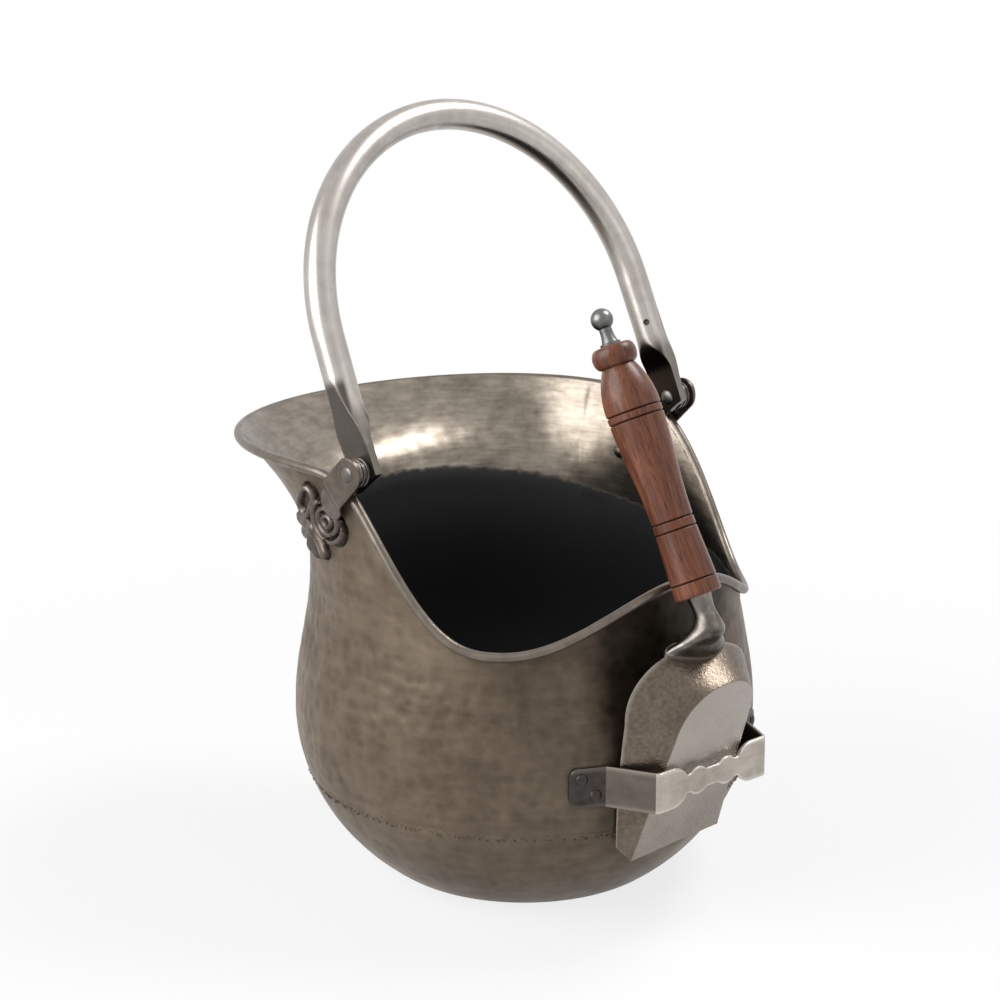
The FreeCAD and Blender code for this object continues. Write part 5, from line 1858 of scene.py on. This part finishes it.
@dataclass(frozen=True)
class Scoop:
    """Cast scoop with a flat floor, flared walls, a raked tip and a rising free edge."""

    thick: float = 1.8
    tip_w: float = 63.6
    mid_w: float = 53.2
    straight: float = 79.7
    length: float = 108.4
    edge_h: float = 5.4
    edge_angle: float = 10.0
    edge_angle_left: float = 11.7
    flare_tip: float = 49.0
    flare_mid: float = 36.0
    flare_back: float = 10.0
    rake: float = 46.0
    arch_power: float = 2.3
    crease_r: float = 1.1
    crease_share: float = 0.45
    crease_at: Pair = (0.33, 0.67)
    sheet_rows: int = 12
    rim_rounds: int = 6
    # Shares of the paler colour: on the floor, more towards its back, and on the free edge as a painted
    # highlight
    floor_shade: float = 0.35
    back_shade: float = 0.4
    edge_highlight: float = 0.45
    side_steps: int = 60
    arch_steps: int = 72

    def outline(self, h: Array | float, wall: float) -> Array:
        """Outline of the scoop at a height over its floor.

        Args:
            h: height, one value or one for each station.
            wall: distance inside the outer faces.

        Returns:
            Stations from the left of the tip round the arch to its right, as (along, across).
        """
        def spread(flare: float) -> Array:
            """How far a wall stands out at the height."""
            a = math.radians(flare)
            return np.asarray(h) * math.tan(a) - wall / math.cos(a)
        tip_w = self.tip_w / 2 + spread(self.flare_tip)
        mid_w = self.mid_w / 2 + spread(self.flare_mid)
        arch = self.length - self.straight + spread(self.flare_back)
        s_side = np.linspace(0, self.straight, self.side_steps, endpoint=False)
        t = np.pi * (np.linspace(0, 1, self.arch_steps + 1) - 0.5)
        along = s_side / self.straight
        share = np.concatenate([along, np.ones(self.arch_steps + 1), along[::-1]])
        side, level, power = np.ones(self.side_steps), np.zeros(self.side_steps), 2 / self.arch_power
        sine = np.concatenate([-side, signed_power(np.sin(t), power), side])
        bow = np.concatenate([level, np.abs(np.cos(t)) ** power, level])
        return np.stack([share * self.straight + arch * bow, (tip_w + (mid_w - tip_w) * share) * sine], -1)

    def back_wall(self, w: Array, h: Array) -> Array:
        """How far along the scoop its outer back face stands.

        Args:
            w: distances across the scoop.
            h: heights over its floor.

        Returns:
            Distances from the tip.
        """
        mid_w = self.mid_w / 2 + h * math.tan(math.radians(self.flare_mid))
        arch = self.length - self.straight + h * math.tan(math.radians(self.flare_back))
        sine = np.clip(np.abs(w) / mid_w, 0, 1) ** (self.arch_power / 2)
        return self.straight + arch * np.sqrt(1 - sine ** 2) ** (2 / self.arch_power)

    def free_edge(self, spots: Array) -> Array:
        """Height of the walls' free edge, which stands higher on the left.

        Args:
            spots: places on the outline, as (along, across).

        Returns:
            One height for each place.
        """
        s, w = spots.T
        raked = np.maximum(s, 0) / math.tan(math.radians(self.rake))
        left = smooth_step(0.5 - w / self.mid_w)
        angle = self.edge_angle + (self.edge_angle_left - self.edge_angle) * left
        return np.minimum(raked, self.edge_h + np.tan(np.radians(angle)) * s)

    def sheet(self, wall: float, floor_h: float) -> Array:
        """One face of the scoop.

        Args:
            wall: distance inside the outer faces.
            floor_h: height of the face's floor.

        Returns:
            Grid from the middle of the floor to the free edge.
        """
        foot = self.outline(floor_h, wall)
        rim_h = self.free_edge(foot)
        for _ in range(self.rim_rounds):
            rim_h = np.maximum(self.free_edge(self.outline(rim_h, wall)), floor_h)
        rim = self.outline(rim_h, wall)
        spine = np.stack([np.clip(foot[:, 0], 0, self.straight), np.zeros(len(foot))], -1)
        foot3 = np.concatenate([foot, np.full((len(foot), 1), floor_h)], -1)
        rim3 = np.concatenate([rim, rim_h[:, None]], -1)
        spine3 = np.concatenate([spine, np.full((len(foot), 1), floor_h)], -1)
        wall_h = np.linalg.norm(rim3 - foot3, axis=1)
        crease = np.minimum(self.crease_r, self.crease_share * wall_h)[:, None]
        start, stop = (foot3 + unit(end - foot3) * crease for end in (spine3, rim3))
        shares = np.linspace(0, 1, self.sheet_rows)
        rows = [spine3 + (start - spine3) * t for t in shares]
        rows += [bent(start, foot3, stop, t) for t in self.crease_at]
        rows += [stop + (rim3 - stop) * t for t in shares]
        return np.array(rows)

    def build(self, finishes: Finishes) -> None:
        """Build and dress the scoop.

        Args:
            finishes: the bucket's finishes.
        """
        outer = self.sheet(0.0, 0.0)
        inner = self.sheet(self.thick, self.thick)
        inner[..., 0] = np.maximum(inner[..., 0], 0)
        shade = np.zeros(outer.shape[:2])
        floor = slice(0, self.sheet_rows + 1)
        shade[floor] = self.floor_shade + self.back_shade * smooth_step(outer[floor, :, 0] / self.straight)
        # The free edge takes a painted highlight
        shade[-1] = self.edge_highlight
        draft = MeshDraft()
        upper = draft.add_grid(SHOVEL.scoop(outer), shade=shade)
        lower = draft.add_grid(SHOVEL.scoop(inner))
        for j in range(outer.shape[1] - 1):
            draft.add_face((upper[-1, j], upper[-1, j + 1], lower[-1, j + 1], lower[-1, j]))
        for i in range(outer.shape[0] - 1):
            for j in (0, -1):
                draft.add_face((upper[i, j], upper[i + 1, j], lower[i + 1, j], lower[i, j]))
        obj = draft.finish("cast_scoop", [finishes.scoop], sharp=24)
        place_piece(obj, Body.SHOVEL, "pan_metal", "shovel_pan")


@dataclass(frozen=True)
class ScoopNeck:
    """Cast neck: round under the grip, bent at its elbow and spread over the scoop's back."""

    scoop: Scoop = Scoop()
    out: Row = (0.0, 0.0, 0.0, -7.6, -16.3)
    along: Row = (45.2, 37.2, 29.9, 24.6, 20.3)
    turns: Row = (0.0, 0.0, 30.0, 48.3, 48.3)
    wide: Row = (12.8, 11.2, 15.0, 25.0, 37.0)
    deep: Row = (12.8, 11.2, 16.6, 12.0, 10.0)
    lump: float = 0.45
    lump_turn: float = 0.8
    lumped: Fade = Fade(1.5, 2.5)
    spread: Fade = Fade(2.6, 3.8)
    # Share of the pale colour on the lap's lower edge: a painted highlight
    lap_edge_highlight: float = 0.8
    skew: float = 0.16
    vee: float = 3.0
    lap: float = 1.7
    bury: float = 0.9
    segments: int = 72
    rows: int = 64

    def build(self, finishes: Finishes) -> None:
        """Build and dress the neck.

        Args:
            finishes: the bucket's finishes.
        """
        stations = np.arange(len(self.out), dtype=float)
        at = np.linspace(0, stations[-1], self.rows)[:, None]
        phi = full_turn(self.segments)
        turn = np.radians(through(at, stations, self.turns))
        lumps = self.lump * np.sin(3 * phi + self.lump_turn) * self.lumped.at(at)
        half_d = through(at, stations, self.deep) / 2 + lumps
        half_w = through(at, stations, self.wide) / 2
        out = through(at, stations, self.out) + half_d * np.cos(phi) * np.cos(turn)
        along = through(at, stations, self.along) - half_d * np.cos(phi) * np.sin(turn)
        rise = math.radians(SHOVEL.handle_angle)
        s = SHOVEL.handle_start + out * math.sin(rise) + along * math.cos(rise)
        h = along * math.sin(rise) - out * math.cos(rise)
        w = half_w * np.sin(phi)
        h = h - self.spread.at(at) * (self.skew * w + self.vee * np.clip(np.cos(phi), 0, 1) ** 3)
        wall = self.scoop.back_wall(w, h)
        s = np.maximum(s, wall + self.lap)
        s[-1] = wall[-1] + self.lap
        s, w, h = (np.concatenate([part, part[-1:]]) for part in (s, w, h))
        s[-1] -= self.lap + self.bury
        shade = np.zeros(s.shape)
        # The lap's lower edge takes a painted highlight
        shade[-3:] = self.lap_edge_highlight
        draft = MeshDraft()
        draft.add_tube(SHOVEL.scoop(np.stack([s, w, h], -1)), shade=shade)
        obj = draft.finish("cast_neck", [finishes.neck], sharp=45)
        place_piece(obj, Body.SHOVEL, "pan_metal", "shovel_socket")


@dataclass(frozen=True)
class Grip:
    """Turned wooden grip with scored rings and a bead at its end."""

    start: float = 45.2
    end_r: float = 12.3
    waist_r: float = 10.9
    swell_r: float = 14.4
    neck_r: float = 8.6
    bead_r: float = 11.7
    waist_at: float = 40.0
    swell_at: float = 101.0
    neck_at: float = 123.0
    bead_l: float = 10.7
    grooves: Row = (8.0, 34.9, 40.1, 94.7, 98.9)
    groove_depth: float = 0.9
    groove_w: float = 0.7
    groove_reach: float = 1.4
    groove_rows: int = 15
    groove_dark: float = 1.4
    edge_r: float = 0.8
    rows: int = 120
    bead_rows: int = 24
    bore_r: float = 2.55
    segments: int = 72

    def radius(self, at: Array) -> Array:
        """Radius of the grip before it is scored.

        Args:
            at: distances from its lower end.

        Returns:
            One radius for each distance.
        """
        low = self.end_r + (self.waist_r - self.end_r) * cosine_step(at / self.waist_at)
        mid = self.waist_r + (self.swell_r - self.waist_r) * cosine_step(
            (at - self.waist_at) / (self.swell_at - self.waist_at))
        share = (at - self.swell_at) / (self.neck_at - self.swell_at)
        top = self.neck_r + (self.swell_r - self.neck_r) * (1 - share ** 2)
        bow = (2 * (at - self.neck_at) / self.bead_l - 1)
        end = self.neck_r + (self.bead_r - self.neck_r) * np.sqrt(np.clip(1 - bow ** 2, 0, 1))
        return np.select([at < self.waist_at, at < self.swell_at, at < self.neck_at], [low, mid, top], end)

    def build(self, finishes: Finishes) -> None:
        """Build and dress the grip.

        Args:
            finishes: the bucket's finishes.
        """
        total = self.neck_at + self.bead_l
        runs = [np.linspace(0, self.neck_at, self.rows),
                self.neck_at + self.bead_l * cosine_step(np.linspace(0, 1, self.bead_rows))]
        runs += [np.linspace(groove - self.groove_reach, groove + self.groove_reach, self.groove_rows)
                 for groove in self.grooves]
        at = np.unique(np.concatenate(runs))
        cut = np.zeros_like(at)
        for groove in self.grooves:
            cut = np.maximum(cut, np.clip(1 - np.abs(at - groove) / self.groove_w, 0, 1))
        ease = self.edge_r * (1 - np.sqrt(np.clip(1 - (1 - np.clip(at / self.edge_r, 0, 1)) ** 2, 0, 1)))
        r = self.radius(at) - self.groove_depth * smooth_step(cut) - ease
        r = np.concatenate([[self.bore_r], r, [self.bore_r]])
        at = np.concatenate([[0], at, [total]])
        shade = np.concatenate([[1], smooth_step(cut * self.groove_dark), [1]])
        rings = lathe_rings(r, at, self.segments)
        draft = MeshDraft()
        draft.add_grid(SHOVEL.handle(rings + np.array([0, 0, self.start])), wrap_rows=True, wrap_cols=True,
                       shade=np.repeat(shade[:, None], self.segments, 1), own=rings)
        obj = draft.finish("turned_grip", [finishes.wood], sharp=60)
        place_piece(obj, Body.SHOVEL, "grip_wood", "wood_grip")


@dataclass(frozen=True)
class EndBall:
    """Turned nut with a ball at the end of the grip."""

    base: float = 178.9
    flange_r: float = 5.4
    flange_t: float = 1.6
    neck_r: float = 3.3
    neck_at: float = 7.6
    ball_r: float = 5.8
    ball_at: float = 14.0
    edge: float = 0.3
    step: float = 1.0
    ball_rows: int = 24
    neck_rows: int = 14
    segments: int = 48

    def build(self, finishes: Finishes) -> None:
        """Build and dress the nut.

        Args:
            finishes: the bucket's finishes.
        """
        sink = math.asin(self.neck_r / self.ball_r)
        t = np.linspace(sink, math.pi, self.ball_rows)
        ball_r, ball_z = self.ball_r * np.sin(t), self.ball_at - self.ball_r * np.cos(t)
        lean = np.linspace(self.flange_t, ball_z[0], self.neck_rows)
        share = (lean - self.flange_t) / (self.neck_at - self.flange_t)
        neck_r = self.neck_r + (self.flange_r - self.step - self.neck_r) * np.clip(1 - share, 0, 1) ** 2
        wide, slim = self.flange_r, self.flange_r - self.edge
        r = np.concatenate([[0, slim, wide, wide, slim], neck_r, ball_r[1:]])
        z = np.concatenate([[0, 0, self.edge, self.flange_t - self.edge, self.flange_t], lean, ball_z[1:]])
        draft = MeshDraft()
        draft.add_grid(SHOVEL.handle(lathe_rings(r, self.base + z, self.segments)), wrap_cols=True)
        obj = draft.finish("end_ball", [finishes.bright], sharp=40)
        place_piece(obj, Body.SHOVEL, "finial_metal", "finial")


# Stage
def aim(obj: bpy.types.Object, right: Array, back: Array, place: Sequence[float]) -> None:
    """Turn a lamp or a camera and put it in its place.

    Args:
        obj: the lamp or camera.
        right: unit vector to its right.
        back: unit vector away from what it faces.
        place: where it stands, in metres.
    """
    rows = np.eye(4)
    rows[:3] = np.stack([right, np.cross(back, right), back, place], -1)
    obj.matrix_world = Matrix(rows.tolist())


@dataclass(frozen=True)
class Lamp:
    """Square soft lamp: places and width in metres, power in watts."""

    name: str
    place: Triple
    target: Triple
    size: float
    power: float

    def build(self) -> None:
        """Hang the lamp so that it faces its target."""
        data = bpy.data.lights.new(self.name, "AREA")
        data.size, data.energy = self.size, self.power
        back = unit(np.subtract(self.place, self.target))
        aim(link_object(self.name, data), unit(np.cross([0, 0, 1.0], back)), back, self.place)


@dataclass(frozen=True)
class Studio:
    """Floor, soft lamps, white surroundings and the camera at the photo's angle."""

    eye: Triple = (-1053.0, -1118.0, 652.3)
    forward: Triple = (0.6577, 0.698, -0.2825)
    right: Triple = (0.7279, -0.6857, 0.0)
    lens: float = 107.2
    sensor: float = 36.0
    sight: float = 20.0
    shift: Pair = (-0.02468, 0.00699)
    floor_size: float = 30.0
    shadow_reach: Pair = (0.25, 0.75)
    shadow_share: float = 0.2
    floor_colour: str = "#f4f4f4"
    floor_rough: float = 0.9
    world_level: float = 0.12
    lamps: tuple[Lamp, ...] = (
        Lamp("key_lamp", (-1.6, 0.5, 1.0), (0, 0, 0.12), size=1.6, power=40.0),
        Lamp("top_lamp", (0.78, -0.32, 1.46), (0, 0, 0.2), size=0.62, power=17.0),
        Lamp("fill_lamp", (0.3, -1.7, 0.8), (0, 0, 0.14), size=1.0, power=1.5))

    def build(self) -> None:
        """Set up the stage round the object."""
        self._camera()
        self._world()
        self._floor()
        for lamp in self.lamps:
            lamp.build()

    def _camera(self) -> None:
        """Place the camera by its axes."""
        data = bpy.data.cameras.new("photo_camera")
        data.lens, data.sensor_width = self.lens, self.sensor
        data.shift_x, data.shift_y = self.shift
        data.clip_end = self.sight
        camera = link_object("photo_camera", data)
        aim(camera, unit(np.array(self.right)), -unit(np.array(self.forward)), np.array(self.eye) * MM)
        bpy.context.scene.camera = camera

    @staticmethod
    def _seen(tree: bpy.types.NodeTree, *kinds: str) -> bpy.types.Node:
        """Tell what looks at a surface from what is lit by it.

        Args:
            tree: node tree of the surface.
            kinds: kinds of ray that look.

        Returns:
            Node that gives 1 for these rays and 0 for others.
        """
        path = add_node(tree, "ShaderNodeLightPath")
        seen: Any = 0.0
        for kind in kinds:
            seen = add_node(tree, "ShaderNodeMath", {0: path.outputs[kind], 1: seen}, operation="MAXIMUM")
        return seen

    def _world(self) -> None:
        """White for what looks at the surroundings, dimmer for what is lit by them."""
        world = bpy.data.worlds.new("studio")
        world.use_nodes = True
        bpy.context.scene.world = world
        tree = world.node_tree
        tree.nodes.clear()
        seen = self._seen(tree, "Is Camera Ray", "Is Glossy Ray", "Is Transmission Ray")
        level = add_node(tree, "ShaderNodeMapRange", {"Value": seen, "To Min": self.world_level})
        glow = add_node(tree, "ShaderNodeBackground", {"Color": (1, 1, 1, 1), "Strength": level})
        add_node(tree, "ShaderNodeOutputWorld", {"Surface": glow})

    def _floor(self) -> None:
        """Pale floor that keeps a soft shadow."""
        draft = MeshDraft()
        half = self.floor_size / (2 * MM)
        side = np.array([-half, half])
        x, y = np.meshgrid(side, side)
        draft.add_grid(np.stack([x, y, np.zeros_like(x)], -1))
        material, tree, shader = new_material("pale_floor")
        add = partial(add_node, tree)
        feed(tree, shader, {"Base Color": srgb(self.floor_colour), "Roughness": self.floor_rough})
        seen = self._seen(tree, "Is Camera Ray", "Is Glossy Ray")
        where = add("ShaderNodeTexCoord")
        away = add("ShaderNodeVectorMath", {0: where.outputs["Object"]}, operation="LENGTH")
        plain = add("ShaderNodeMapRange", {
            "Value": away, "From Min": self.shadow_reach[0], "From Max": self.shadow_reach[1],
            "To Min": 1 - self.shadow_share, "To Max": 1.0}, interpolation_type="SMOOTHSTEP")
        share = add("ShaderNodeMath", {0: seen, 1: plain}, operation="MULTIPLY")
        glow = add("ShaderNodeEmission", {"Color": (1, 1, 1, 1), "Strength": 1.0})
        mix = add("ShaderNodeMixShader", {0: share, 1: shader, 2: glow})
        feed(tree, tree.nodes["Material Output"], {"Surface": mix})
        draft.finish("floor", [material])


def dress_kept_nodes(finishes: Finishes) -> None:
    """Give the part's own solids that stay their finishes.

    Args:
        finishes: the bucket's finishes.
    """
    kept = {"rim_wire": finishes.wire, "tang_rod": finishes.wire, "ear_rivets_left": finishes.rivet,
            "ear_rivets_right": finishes.rivet}
    for node, material in kept.items():
        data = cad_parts[node].data
        data.materials.clear()
        data.materials.append(material)
        LOG.info("%s keeps its solid", node)


def main() -> None:
    """Build the pieces in order."""
    logging.basicConfig(level=logging.INFO, format="%(name)s: %(message)s")
    bpy.context.scene.view_settings.view_transform = "Standard"
    finishes = Finishes()
    Studio().build()
    makers: list[Callable[[Finishes], None]] = [
        BaseDish().build, Belly().build, HelmetCollar().build, BrazeSeam().build]
    for side in Side:
        makers += [Ear(side).build, Pivot(side).build]
    makers += [Bail().build, STRAP.build, StrapRivets().build, Scoop().build, ScoopNeck().build, Grip().build,
               EndBall().build, dress_kept_nodes]
    for make in makers:
        make(finishes)


if __name__ == "__main__":
    main()
